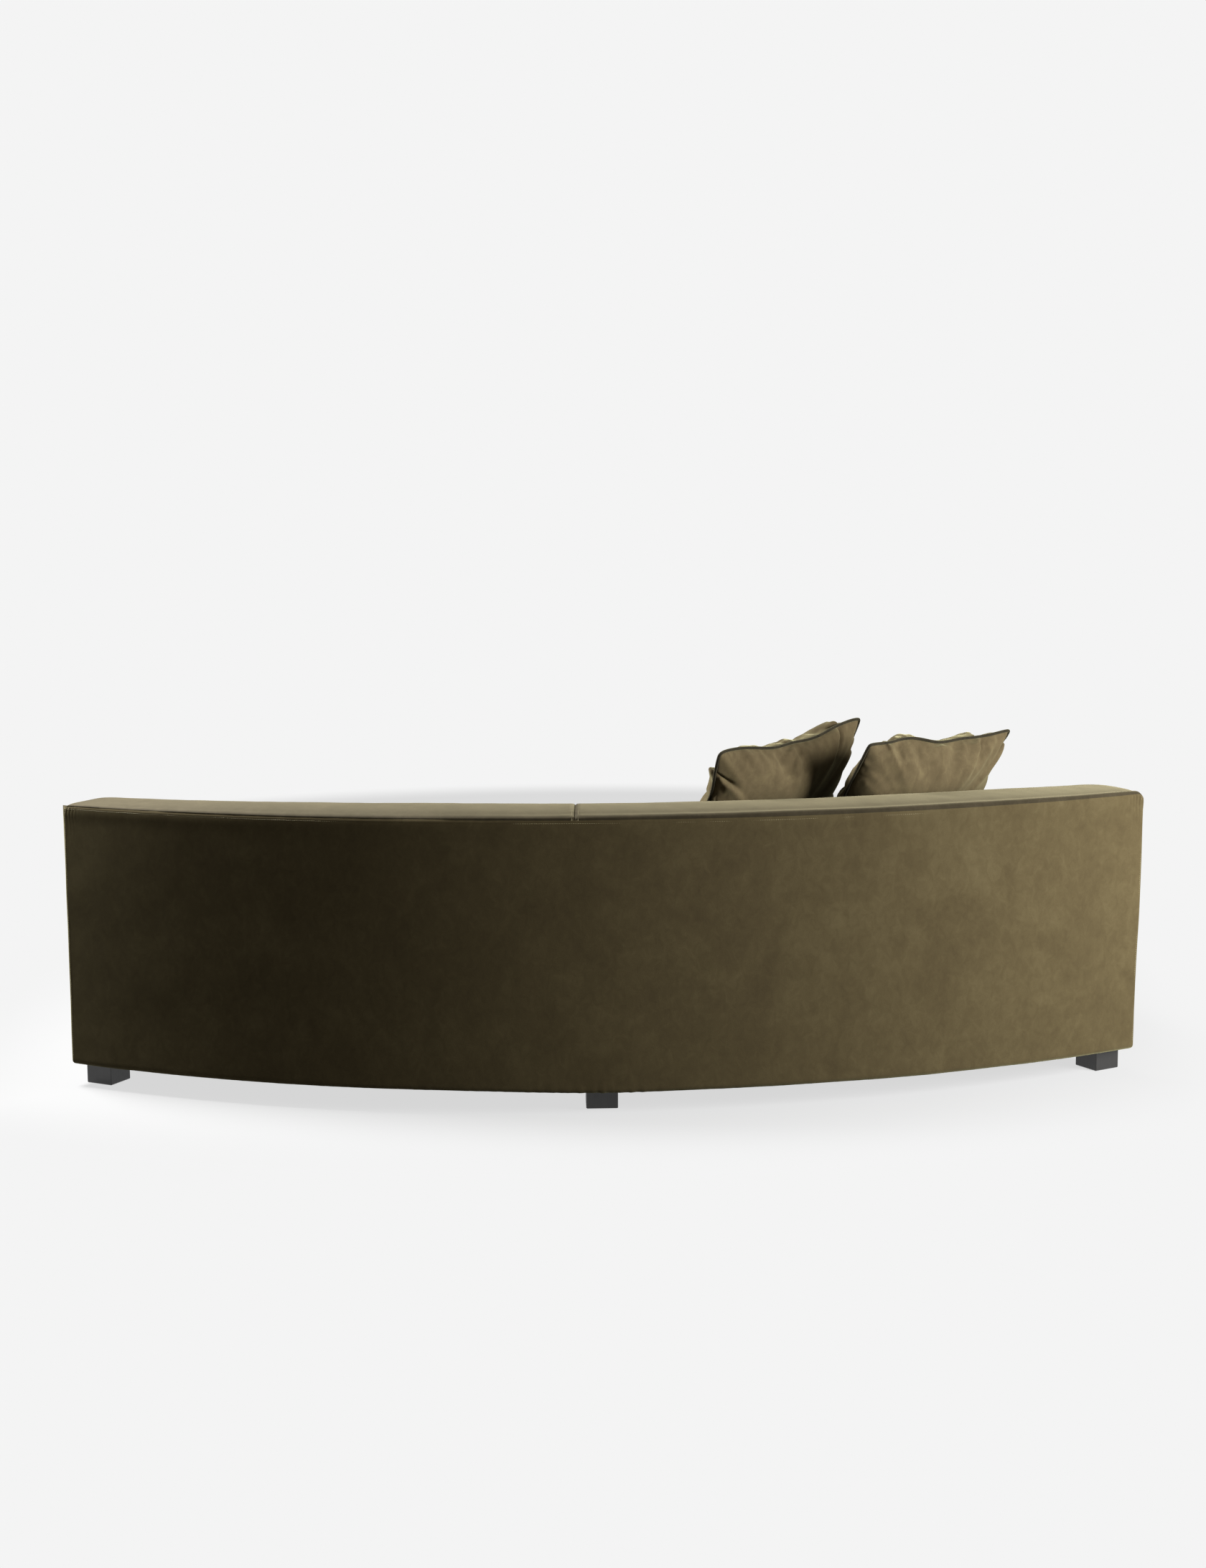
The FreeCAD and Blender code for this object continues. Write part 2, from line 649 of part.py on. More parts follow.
def pillow_outline(half, pull, corner, z, outside=0.0):
    """A square with sides that pull in between rounded corners: eight arcs that meet smoothly. The whole outline may
    lie some way outside the square's own."""
    side_radius = (half * half + pull * pull) / (2 * pull)
    side_centre = half - pull + side_radius
    centre = (side_centre - math.sqrt(2 * (side_radius + corner) ** 2 - side_centre ** 2)) / 2
    reach = side_radius + corner
    round_radius = corner + outside
    tx = centre - round_radius * centre / reach
    ty = centre + round_radius * (side_centre - centre) / reach
    tip = centre + round_radius * math.sqrt(0.5)
    edges = []
    for i in range(4):
        turn = math.radians(-90 * i)

        def place(x, y):
            across, along = math.cos(turn), math.sin(turn)
            return FreeCAD.Vector(x * across - y * along, x * along + y * across, z)
        edges.append(Part.Arc(place(-tx, ty), place(0, half - pull + outside), place(tx, ty)).toShape())
        edges.append(Part.Arc(place(tx, ty), place(tip, tip), place(ty, tx)).toShape())
    return Part.Wire(edges)


def pillow_form(pull, inset):
    """A plump pillow lying flat: full at the middle, thin at the seam, with its corners drawn out."""
    half = pillow_side / 2 - inset
    seam = pillow_seam / 2 - inset
    rise = pillow_thickness / 2 - inset - seam
    stations = []
    for share in pillow_levels:
        level = seam + rise * (1 - share ** 2) ** pillow_roundness
        rounding = pillow_corner * share + pillow_crown_corner * half * share * (1 - share)
        stations.append((half * share, pull * share ** 4, rounding, level))
    upper = Part.makeLoft([pillow_outline(*station) for station in stations], True, False)
    lower = upper.mirror(FreeCAD.Vector(0, 0, 0), FreeCAD.Vector(0, 0, 1))
    rim = Part.Face(pillow_outline(stations[0][0], stations[0][1], stations[0][2], -seam))
    rim = rim.extrude(FreeCAD.Vector(0, 0, 2 * seam))
    return upper.fuse([rim, lower]).removeSplitter()


def pillow_piping(pull):
    """The round piping that runs along a pillow's seam."""
    path = pillow_outline(pillow_side / 2, pull, pillow_corner, 0, piping_radius + piping_gap)
    start = path.Edges[0]
    point = start.valueAt(start.FirstParameter)
    along = start.tangentAt(start.FirstParameter)
    circle = Part.Wire(Part.Circle(point, along, piping_radius).toShape())
    return path.makePipeShell([circle], True, False)


def pillow_placement(spec, radius, height):
    """Stands a flat pillow up on its edge, leaning back, turned and tipped, beside the sitter's right."""
    angle = -math.degrees(spec["along"] / back_radius)
    place = FreeCAD.Placement(FreeCAD.Vector(0, radius, height), FreeCAD.Rotation())
    turn = FreeCAD.Placement(FreeCAD.Vector(0, 0, 0), FreeCAD.Rotation(FreeCAD.Vector(0, 0, 1), spec["turn"]))
    lean = FreeCAD.Placement(FreeCAD.Vector(0, 0, 0), FreeCAD.Rotation(FreeCAD.Vector(1, 0, 0), -spec["lean"]))
    stand = FreeCAD.Placement(FreeCAD.Vector(0, 0, 0), FreeCAD.Rotation(FreeCAD.Vector(1, 0, 0), 90))
    tip = FreeCAD.Placement(FreeCAD.Vector(0, 0, 0), FreeCAD.Rotation(FreeCAD.Vector(0, 0, 1), -spec["tip"]))
    round_axis = FreeCAD.Placement(FreeCAD.Vector(0, 0, 0), FreeCAD.Rotation(FreeCAD.Vector(0, 0, 1), -angle))
    return round_axis.multiply(place).multiply(turn).multiply(lean).multiply(stand).multiply(tip)


def settled(spec, probe):
    """The placement at which a pillow leans on the back and rests on the cushion, just clear of both."""
    radius = deck_back_radius - pillow_side * 0.3
    height = deck_height + cushion_border + pillow_side * 0.45
    points = probe.tessellate(2.0)[0]
    for step in range(6):
        placement = pillow_placement(spec, radius, height)
        placed = [placement.multVec(point) for point in points]
        low = min(p.z - cushion_top(p.x, p.y) for p in placed)
        near = min(inside_limit(p.z) - math.hypot(p.x, p.y) for p in placed)
        height -= low - soft_gap
        radius += near - pillow_lean_gap
    return pillow_placement(spec, radius, height)


roll_profile = sorted((point.z, point.y) for point in outline.OuterWire.discretize(Distance=2.0)
                      if point.z > frame_top and point.y < back_radius - roll_crown)


def inside_limit(z):
    """The radius that nothing leaning on the back passes at a height: the inside back, then the roll's inner side."""
    if z <= roll_profile[0][0]:
        return inside_back_radius(z)
    for (z0, r0), (z1, r1) in zip(roll_profile, roll_profile[1:]):
        if z <= z1:
            return r0 + (r1 - r0) * (z - z0) / max(z1 - z0, 1e-6)
    return wide


def make_pillows():
    """Two loose scatter pillows: a cover, its piping and the insert in it."""
    for body, spec in (("pillow_inner", inner_pillow), ("pillow_outer", outer_pillow)):
        insert = pillow_form(spec["pull"], pillow_fabric)
        cover = pillow_form(spec["pull"], 0)
        piping = pillow_piping(spec["pull"])
        placement = settled(spec, Part.makeCompound([cover, piping]))
        for name, solid in (("_cover", cover.cut(insert)), ("_insert", insert), ("_piping", piping)):
            solid.Placement = placement.multiply(solid.Placement)
            add(body + name, solid, body)


make_frame()
make_blocks()
make_feet()
make_suspension()
make_padding()
make_covers()
make_cushions()
make_pillows()

# The back reaches furthest at its middle and the front border at its two ends
reach_back = back_radius
reach_front = front_radius * math.cos(math.radians(half_angle))
shift = FreeCAD.Vector(0, -(reach_back + reach_front) / 2, 0)
os.makedirs("parts", exist_ok=True)
for name, shape in parts.items():
    moved = shape.copy()
    moved.translate(shift)
    moved.exportStep("parts/" + name + ".step")
    flaws = "" if moved.isValid() else "  not valid"
    print(name, len(moved.Solids), round(moved.Volume / 1e6, 3), "litres" + flaws)
print("arc's axis at y", round(shift.y, 3), "and half angle", round(half_angle, 4))
print("depth", round(reach_back - reach_front, 2))
for body, names in bodies.items():
    print(body, names)
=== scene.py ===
import bpy
import bmesh
import json
import math
import random
import numpy as np
from mathutils import Euler, Matrix, Vector, noise
from mathutils.geometry import delaunay_2d_cdt


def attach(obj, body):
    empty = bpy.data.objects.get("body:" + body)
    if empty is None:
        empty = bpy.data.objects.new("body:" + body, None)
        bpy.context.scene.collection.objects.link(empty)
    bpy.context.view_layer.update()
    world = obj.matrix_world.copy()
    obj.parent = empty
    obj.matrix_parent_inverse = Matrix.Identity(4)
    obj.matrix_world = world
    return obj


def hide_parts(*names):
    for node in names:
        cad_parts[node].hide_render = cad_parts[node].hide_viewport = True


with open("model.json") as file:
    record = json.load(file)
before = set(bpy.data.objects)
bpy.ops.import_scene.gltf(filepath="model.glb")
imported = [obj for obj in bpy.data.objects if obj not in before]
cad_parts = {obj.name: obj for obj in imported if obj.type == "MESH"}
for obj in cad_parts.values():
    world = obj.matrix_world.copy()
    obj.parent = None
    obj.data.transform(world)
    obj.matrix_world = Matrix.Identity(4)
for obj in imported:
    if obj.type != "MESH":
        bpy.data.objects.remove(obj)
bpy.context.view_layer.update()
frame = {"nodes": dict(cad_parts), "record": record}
nodes = frame["nodes"]

# The sofa is drawn round one upright axis: radius r, height z, and an angle from +Y towards +X
sofa = {
    "axisY": -2.25365,
    "backRadius": 2.850,
    "frontRadius": 1.890,
    "halfAngle": math.radians(28.7312),
    "underside": 0.062,
    "seamHeight": 0.725,
    "deckHeight": 0.285,
    "deckUnder": 0.2615,
    "deckBack": 2.582,
    "backRake": 0.021,
    "frameTop": 0.702,
    "seamOffset": 0.084,   # roll's seam, along the arc from the centre towards the sitter's left
}
R, F, halfAngle = sofa["backRadius"], sofa["frontRadius"], sofa["halfAngle"]
bottom, deckHeight = sofa["underside"], sofa["deckHeight"]
frameTop, seamHeight = sofa["frameTop"], sofa["seamHeight"]
print("frame loaded,", len(nodes), "nodes")


def at(r, angle, z):
    return (r * math.sin(angle), r * math.cos(angle) + sofa["axisY"], z)


def toAngle(distance):
    return distance / R


def smooth(value):
    value = min(max(value, 0.0), 1.0)
    return value * value * (3 - 2 * value)


def bell(distance, width):
    return math.exp(-(distance / width) ** 2)


def ripple(x, y, z, size, seed=0.0):
    return noise.noise(Vector((x / size + seed, y / size - seed, z / size + 3.1 * seed)))


def newObject(name, data):
    made = bpy.data.objects.new(name, data)
    bpy.context.scene.collection.objects.link(made)
    return made


# materials

def linear(hexColour):
    channels = [int(hexColour[i:i + 2], 16) / 255 for i in (1, 3, 5)]
    return [c / 12.92 if c <= 0.04045 else ((c + 0.055) / 1.055) ** 2.4 for c in channels] + [1.0]


def setInputs(tree, node, values):
    for socket, value in values.items():
        target = node.inputs[socket]
        if isinstance(value, bpy.types.NodeSocket):
            tree.links.new(value, target)
        else:
            target.default_value = value


def addNode(tree, kind, values={}, **settings):
    node = tree.nodes.new(kind)
    for name, value in settings.items():
        setattr(node, name, value)
    setInputs(tree, node, values)
    return node


def calc(tree, operation, a, b=0.5):
    return addNode(tree, "ShaderNodeMath", {0: a, 1: b}, operation=operation).outputs[0]


def emptyTree(owner):
    owner.use_nodes = True
    owner.node_tree.nodes.clear()
    return owner.node_tree


def newMaterial(name):
    material = bpy.data.materials.new(name)
    tree = emptyTree(material)
    shader = addNode(tree, "ShaderNodeBsdfPrincipled")
    addNode(tree, "ShaderNodeOutputMaterial", {"Surface": shader.outputs["BSDF"]})
    return material, tree, shader


def ramp(tree, factor, stops):
    node = addNode(tree, "ShaderNodeValToRGB", {0: factor})
    ends = node.color_ramp.elements
    while len(ends) < len(stops):
        ends.new(0.5)
    for element, (place, colour) in zip(ends, stops):
        element.position = place
        element.color = colour
    return node.outputs["Color"]


def noiseOf(tree, place, size, detail, roughness=0.5, distortion=0.0):
    return addNode(tree, "ShaderNodeTexNoise", {"Vector": place, "Scale": 1 / size, "Detail": detail,
                                                "Roughness": roughness, "Distortion": distortion}).outputs[0]


def blend(tree, share, a, b):
    return addNode(tree, "ShaderNodeMix", {0: share, 2: a, 3: b}).outputs[0]


def ranged(tree, value, low, high):
    return addNode(tree, "ShaderNodeMapRange", {"Value": value, "From Min": 0.3, "From Max": 0.7, "To Min": low,
                                                "To Max": high}).outputs[0]


def bumped(tree, height, strength, depth):
    return addNode(tree, "ShaderNodeBump", {"Height": height, "Strength": strength, "Distance": depth}).outputs[0]


def velvet(name, look):
    material, tree, shader = newMaterial(name)
    place = addNode(tree, "ShaderNodeTexCoord").outputs["Object"]
    # the pile leans this way and that where hands have brushed it
    warp = noiseOf(tree, place, look["patch"], 3.0, 0.55, 1.2)
    streakPlace = addNode(tree, "ShaderNodeMapping", {"Vector": place, "Scale": (1.0, 1.0, 0.75)}).outputs[0]
    streak = noiseOf(tree, streakPlace, look["streak"], 5.0, 0.62, 0.8)
    pile = noiseOf(tree, place, look["pile"], 2.0)
    nap = blend(tree, 0.16, blend(tree, 0.5, warp, streak), pile)
    colour = ramp(tree, nap, [(0.30, linear(look["dark"])), (0.5, linear(look["middle"])),
                              (0.70, linear(look["light"]))])
    setInputs(tree, shader, {
        "Base Color": colour, "Roughness": ranged(tree, nap, 0.98, 0.82), "Specular IOR Level": 0.12,
        "Sheen Weight": look["sheen"], "Sheen Roughness": look["sheenRoughness"],
        "Sheen Tint": linear(look["sheenTint"]),
        "Normal": bumped(tree, blend(tree, 0.35, streak, pile), look["bump"], look["depth"])})
    return material


sofaVelvetLook = {
    "dark": "#342B1A", "middle": "#3C331F", "light": "#453C26",
    "patch": 0.16,             # brushed patches, about 160 mm across
    "streak": 0.022,
    "pile": 0.0022,            # pile tufts of 0.3 mm, drawn at 2 mm so that they show
    "sheen": 0.55, "sheenRoughness": 0.42, "sheenTint": "#CAC597",
    "bump": 0.3, "depth": 0.0009,
}
sofaVelvet = velvet("Moss short pile velvet", sofaVelvetLook)
# a darker copy of the velvet for the roll: the darkened base colour is painted shade for its dark lower band; the
# weaker sheen still turns it pale where the light grazes it
rollShadedVelvet = velvet("Moss roll velvet painted shade", dict(sofaVelvetLook, dark="#1E190F", middle="#262014", light="#2F281B",
                                             sheen=0.24, sheenRoughness=0.5, sheenTint="#CEC39B"))
pillowVelvet = velvet("Moss pillow velvet", dict(sofaVelvetLook, dark="#3A3120", middle="#453B28", light="#514730",
                                                 patch=0.07, streak=0.02))
# the piping: the same velvet with its base colour darkened, painted shade for the piping's shaded look
pipingShadedVelvet = velvet("Bias cut velvet painted shade", dict(sofaVelvetLook, dark="#14110A", middle="#1D1910", light="#2A2417",
                                                   patch=0.03, streak=0.01, sheen=0.25))


def plainMaterial(name, look):
    material, tree, shader = newMaterial(name)
    place = addNode(tree, "ShaderNodeTexCoord").outputs["Object"]
    stretch = addNode(tree, "ShaderNodeMapping", {"Vector": place, "Scale": look.get("stretch", (1, 1, 1))}).outputs[0]
    grain = noiseOf(tree, stretch, look["grain"], 6.0, 0.6, look.get("warp", 0.3))
    setInputs(tree, shader, {
        "Base Color": ramp(tree, grain, [(0.32, linear(look["dark"])), (0.68, linear(look["light"]))]),
        "Roughness": ranged(tree, grain, look["roughness"] + 0.06, look["roughness"] - 0.06),
        "Metallic": look.get("metal", 0.0), "Coat Weight": look.get("coat", 0.0), "Coat Roughness": 0.2,
        "Normal": bumped(tree, grain, 0.4, look["depth"])})
    return material


finishLooks = {
    # lacquer sprayed over close grained wood: nearly flat black, a soft shine at the edges
    "foot_finish": ("Black lacquered beech", {"dark": "#0B0A09", "light": "#151310", "grain": 0.004,
        "stretch": (1, 1, 0.15), "roughness": 0.34, "coat": 0.3, "depth": 0.00008}),
    # rotary cut birch faces, sanded
    "plywood": ("Sanded birch plywood", {"dark": "#B98F5C", "light": "#D6B383", "grain": 0.02,
        "stretch": (1, 1, 0.12), "roughness": 0.62, "depth": 0.0002, "warp": 1.5}),
    "timber": ("Planed pine", {"dark": "#B48A52", "light": "#D9B57E", "grain": 0.012,
        "stretch": (0.1, 1, 1), "roughness": 0.6, "depth": 0.0002, "warp": 0.8}),
    "board": ("Tempered hardboard", {"dark": "#5A3C26", "light": "#7A5435", "grain": 0.003,
        "roughness": 0.7, "depth": 0.0001}),
    "spring_steel": ("Drawn spring wire", {"dark": "#6E6B66", "light": "#8D8A84", "grain": 0.002, "metal": 1.0,
        "roughness": 0.38, "depth": 0.00005}),
    "zinc_steel": ("Zinc plated steel", {"dark": "#A8A9A6", "light": "#C9CAC6", "grain": 0.0015, "metal": 1.0,
        "roughness": 0.34, "depth": 0.00004}),
    "glide": ("Moulded black nylon", {"dark": "#0E0E0E", "light": "#181818", "grain": 0.0008,
        "roughness": 0.5, "depth": 0.00004}),
    "foam": ("Cut seating foam", {"dark": "#D8CDA6", "light": "#E8E0C0", "grain": 0.0015,
        "roughness": 0.95, "depth": 0.0006}),
    "webbing": ("Woven elastic webbing", {"dark": "#2B2622", "light": "#4A423A", "grain": 0.002,
        "stretch": (1, 1, 4), "roughness": 0.85, "depth": 0.0003}),
    "pillow_fill": ("Cotton ticking", {"dark": "#DAD5CB", "light": "#ECE8E0", "grain": 0.001,
        "roughness": 0.9, "depth": 0.0002}),
    "felt": ("Needled felt", {"dark": "#66635E", "light": "#7D7A74", "grain": 0.003,
        "roughness": 0.97, "depth": 0.0006}),
    # plain weave with a soft matt face
    "lining": ("Black woven lining", {"dark": "#111010", "light": "#1D1B1A", "grain": 0.0012,
        "roughness": 0.9, "depth": 0.0002}),
    "thread": ("Olive polyester thread", {"dark": "#6E6547", "light": "#877C5A", "grain": 0.001,
        "roughness": 0.6, "depth": 0.0001}),
}
finishes = {key: plainMaterial(*row) for key, row in finishLooks.items()}
slotFinish = dict(finishes, velvet=sofaVelvet, pillow_velvet=pillowVelvet, piping=pipingShadedVelvet,
                  wadding=finishes["pillow_fill"])
for part in frame["record"]["subparts"]:
    nodeMesh = nodes[part["node"]].data
    nodeMesh.materials.clear()
    nodeMesh.materials.append(slotFinish[part["material_slot"]])
print("materials made")


# mesh helpers

def placePiece(piece, material, body, slot, replaced=(), fill=None):
    piece.data.materials.clear()
    piece.data.materials.append(material)
    piece.data.shade_smooth()
    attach(piece, body)
    if replaced:
        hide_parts(*replaced)
    return piece


def meshPiece(name, points, faces, *dress):
    mesh = bpy.data.meshes.new(name)
    mesh.from_pydata([tuple(p) for p in points], [], faces)
    mesh.validate()
    work = bmesh.new()
    work.from_mesh(mesh)
    bmesh.ops.remove_doubles(work, verts=work.verts, dist=0.00002)
    bmesh.ops.recalc_face_normals(work, faces=work.faces)
    work.to_mesh(mesh)
    work.free()
    return placePiece(newObject(name, mesh), *dress)


def bakedMesh(source):
    mesh = bpy.data.meshes.new_from_object(source.evaluated_get(bpy.context.evaluated_depsgraph_get()))
    bpy.data.objects.remove(source)
    return mesh


def resample(corners, step):
    points = [corners[0]]
    for a, b in zip(corners, corners[1:]):
        count = max(1, round(math.dist(a, b) / step))
        points += [(a[0] + (b[0] - a[0]) * i / count, a[1] + (b[1] - a[1]) * i / count) for i in range(1, count + 1)]
    return points


def curvePoints(start, middle, end, count):
    ax, ay, bx, by, cx, cy = *start, *middle, *end
    d = 2 * (ax * (by - cy) + bx * (cy - ay) + cx * (ay - by))
    ux = ((ax ** 2 + ay ** 2) * (by - cy) + (bx ** 2 + by ** 2) * (cy - ay) + (cx ** 2 + cy ** 2) * (ay - by)) / d
    uy = ((ax ** 2 + ay ** 2) * (cx - bx) + (bx ** 2 + by ** 2) * (ax - cx) + (cx ** 2 + cy ** 2) * (bx - ax)) / d
    radius = math.hypot(ax - ux, ay - uy)
    turns = [math.atan2(p[1] - uy, p[0] - ux) for p in (start, middle, end)]
    sweep = (turns[2] - turns[0]) % (2 * math.pi)
    if (turns[1] - turns[0]) % (2 * math.pi) > sweep:
        sweep -= 2 * math.pi
    angles = [turns[0] + sweep * i / count for i in range(1, count + 1)]
    return [(ux + radius * math.cos(angle), uy + radius * math.sin(angle)) for angle in angles]


def tubeFaces(rows, count):
    return [(j * count + i, j * count + (i + 1) % count, (j + 1) * count + (i + 1) % count, (j + 1) * count + i)
            for j in range(rows - 1) for i in range(count)]


def sweep(name, outer, inner, angles, shape, material, slot, replaced=(), fill=None):
    loop = list(outer) + list(inner)
    lengths = [0.0]
    for a, b in zip(outer, outer[1:]):
        lengths.append(lengths[-1] + math.dist(a, b))
    points = []
    for angle in angles:
        for i, (r, z) in enumerate(loop):
            if i < len(outer):
                before, after = outer[max(i - 1, 0)], outer[min(i + 1, len(outer) - 1)]
                dr, dz = after[0] - before[0], after[1] - before[1]
                size = math.hypot(dr, dz) or 1.0
                push, shift, drop = shape(angle, lengths[i], lengths[-1], r, z)
                r, z = r - push * dz / size, z + push * dr / size - drop
                points.append(at(r, angle + shift, z))
            else:
                points.append(at(r, angle, z))
    count = len(loop)
    faces = tubeFaces(len(angles), count)
    faces.append(tuple(range(count)))
    faces.append(tuple((len(angles) - 1) * count + i for i in reversed(range(count))))
    return meshPiece(name, points, faces, material, "root", slot, replaced, fill)


def spread(first, last, step, radius, tight=0.03):
    total = (last - first) * radius
    places = [0.0]
    while places[-1] < total - 1e-6:
        edge = min(places[-1], total - places[-1])
        places.append(min(places[-1] + (step if edge > tight else step * 0.4), total))
    if total - places[-2] < step * 0.25:
        places.pop(-2)
    return [first + p / radius for p in places]


# rows of stitches and staples

def nodeGroup(name, sockets):
    tree = bpy.data.node_groups.new(name, "GeometryNodeTree")
    for label, kind, value in (("Geometry", "Geometry", None), *sockets):
        socket = tree.interface.new_socket(label, in_out="INPUT", socket_type="NodeSocket" + kind)
        if value is not None:
            socket.default_value = value
    tree.interface.new_socket("Geometry", in_out="OUTPUT", socket_type="NodeSocketGeometry")
    return tree, addNode(tree, "NodeGroupInput").outputs


def rowAlongCurve(tree, given, single, direction, material, size={}):
    spaced = addNode(tree, "GeometryNodeResampleCurve", {"Curve": given["Geometry"], "Length": given["Pitch"]},
                     mode="LENGTH")
    aligned = addNode(tree, "FunctionNodeAlignRotationToVector", {"Vector": direction.outputs[0]}, axis="X")
    row = addNode(tree, "GeometryNodeInstanceOnPoints", {
        "Points": spaced.outputs[0], "Instance": single.outputs["Mesh"], "Rotation": aligned.outputs[0], **size})
    solid = addNode(tree, "GeometryNodeRealizeInstances", {"Geometry": row.outputs[0]})
    done = addNode(tree, "GeometryNodeSetMaterial", {"Geometry": solid.outputs[0], "Material": material})
    addNode(tree, "NodeGroupOutput", {"Geometry": done.outputs[0]})


stitchTree, given = nodeGroup("Stitch row", [
    ("Pitch", "Float", 0.006), ("Stitch length", "Float", 0.0042), ("Thread radius", "Float", 0.0006),
    ("Unevenness", "Float", 0.08), ("Seed", "Int", 4), ("Thread", "Material", None)])
oneStitch = addNode(stitchTree, "GeometryNodeMeshUVSphere", {"Segments": 6, "Rings": 4, "Radius": 1.0})
stitchSize = addNode(stitchTree, "ShaderNodeCombineXYZ", {
    "X": calc(stitchTree, "MULTIPLY", given["Stitch length"], 0.5), "Y": given["Thread radius"],
    "Z": given["Thread radius"]})
tangent = addNode(stitchTree, "GeometryNodeInputTangent")
wobble = addNode(stitchTree, "FunctionNodeRandomValue", {"Min": (-1, -1, -1), "Max": (1, 1, 1), "Seed": given["Seed"]},
                 data_type="FLOAT_VECTOR")
wobbleSize = addNode(stitchTree, "ShaderNodeVectorMath", {0: wobble.outputs["Value"], "Scale": given["Unevenness"]},
                     operation="SCALE")
lean = addNode(stitchTree, "ShaderNodeVectorMath", {0: tangent.outputs[0], 1: wobbleSize.outputs[0]}, operation="ADD")
rowAlongCurve(stitchTree, given, oneStitch, lean, given["Thread"], {"Scale": stitchSize.outputs[0]})


def fromNodes(name, source, tree, values, material, body, slot):
    modifier = source.modifiers.new("Nodes", "NODES")
    modifier.node_group = tree
    for item in tree.interface.items_tree:
        if item.item_type == "SOCKET" and item.in_out == "INPUT" and item.name in values:
            modifier[item.identifier] = values[item.name]
    piece = newObject(name, bakedMesh(source))
    piece.data.name = name
    return placePiece(piece, material, body, slot)


def pathObject(name, lines, radius=0.0):
    # open lines, or closed tubes where a radius is given
    curve = bpy.data.curves.new(name, "CURVE")
    curve.dimensions = "3D"
    curve.bevel_depth = radius
    curve.bevel_resolution = 3
    curve.resolution_u = 2
    for line in lines:
        spline = curve.splines.new("NURBS" if radius else "POLY")
        spline.points.add(len(line) - 1)
        for point, place in zip(spline.points, line):
            point.co = (*place, 1.0)
        if radius:
            spline.order_u = 4
            spline.use_cyclic_u = True
    return newObject(name, curve)


def arcLine(r, z, reach, count):
    return [at(r, -reach + 2 * reach * i / count, z) for i in range(count + 1)]


topStitch = {"Pitch": 0.0055, "Stitch length": 0.0044, "Thread radius": 0.00055, "Unevenness": 0.05, "Seed": 4}


def stitchRow(name, lines, body):
    fromNodes(name, pathObject(name, lines), stitchTree, dict(topStitch, Thread=finishes["thread"]),
              finishes["thread"], body, "velvet")


# outside back: one velvet panel over wadding and board, rolled under the frame at the bottom

# The stuffing spreads the sitter's right rear corner past the frame, more towards the top
cornerSpread = {"most": 0.0135, "from": 0.12, "height": 0.45, "along": 0.16, "depth": 0.3}


def spreadCorner(angle, r, z):
    look = cornerSpread
    end = (halfAngle + angle) * R
    near = smooth(1 - end / look["along"]) * smooth((r - R + look["depth"]) / look["depth"])
    return look["most"] * near * smooth((z - look["from"]) / look["height"])


backPanel = {
    "step": 0.007,
    "thickness": 0.0095,
    "bottomRadius": 0.012,
    "turnUnder": 0.0415,
    "seamSink": 0.0024,        # how far the panel dips into the roll's seam
    "stitchDrop": 0.0085,      # stitch row below that seam
    "slack": 0.0011,           # how uneven the stretched velvet lies
    "cornerRound": 0.006,
    "pucker": 0.0016,
    "hang": 0.0055,
    "cornerStitch": 0.0075,    # from each end to its upright stitch row
}


def topCorner(end, z):
    # the two upper corners are rounded by their stuffing
    return 0.009 * max(1 - end / 0.022, 0.0) ** 2 * smooth((z - 0.66) / 0.065)


def backShape(angle, s, total, r, z):
    look = backPanel
    end = (halfAngle - abs(angle)) * R
    x = R * angle
    push = -look["seamSink"] * bell(s, 0.0035) - 0.0003 * bell(s - look["stitchDrop"], 0.0025)
    push += look["slack"] * ripple(x, 0, z * 1.6, 0.26, 2.0) + 0.45 * look["slack"] * ripple(x, 0, z, 0.07, 5.0)
    push += 0.0009 * bell(s - 0.02, 0.014)
    if end < look["cornerRound"]:
        push -= look["cornerRound"] * 0.75 * (1 - end / look["cornerRound"]) ** 2
    # small gathers under the seam at both ends
    near = smooth(1 - end / 0.065) * math.exp(-s / 0.03) * smooth(s / 0.006)
    push += (0.0013 if angle > 0 else 0.0021) * near * math.sin(end * 640 + 2.2 * ripple(x, 0, z, 0.03, 1.0))
    # puckers where the cover is drawn under the frame
    low = math.exp(-max(z - 0.064, 0) / 0.022)
    centre = bell(x - 0.01, 0.12) + 0.22
    push += look["pucker"] * low * centre * ripple(x, 0, z * 0.25, 0.014, 9.0)
    crease = bell(x + 1.215 + (z - 0.105) * 0.8, 0.006) * bell(z - 0.1, 0.03)
    push -= 0.0018 * crease
    # the fold under the bottom rail hangs a little lower than the rail, most at the middle
    hang = look["hang"] * (1 + 0.9 * bell(x, 0.22))
    hang *= smooth((r - R + look["turnUnder"]) / 0.03) * smooth((0.2 - z) / 0.1)
    return push, -toAngle(spreadCorner(angle, r, z)), hang + topCorner(end, z)


low = backPanel["bottomRadius"]
backOuter = resample([(R, seamHeight), (R, seamHeight - 0.03)], 0.002)
backOuter += resample([backOuter[-1], (R, bottom + 0.1)], 0.012)[1:]
backOuter += resample([backOuter[-1], (R, bottom + low)], 0.006)[1:]
backOuter += curvePoints((R, bottom + low), (R - low * 0.2929, bottom + low * 0.2929), (R - low, bottom), 6)
backOuter += resample([(R - low, bottom), (R - backPanel["turnUnder"], bottom)], 0.008)[1:]
backInner = [(R - backPanel["turnUnder"], bottom + 0.0015), (R - low, bottom + 0.0015), (R - 0.0085, bottom + 0.01),
             (R - backPanel["thickness"], bottom + 0.02), (R - backPanel["thickness"], frameTop),
             (R - 0.004, frameTop), (R - 0.004, seamHeight)]
backAngles = spread(-halfAngle, halfAngle, backPanel["step"], R, 0.07)
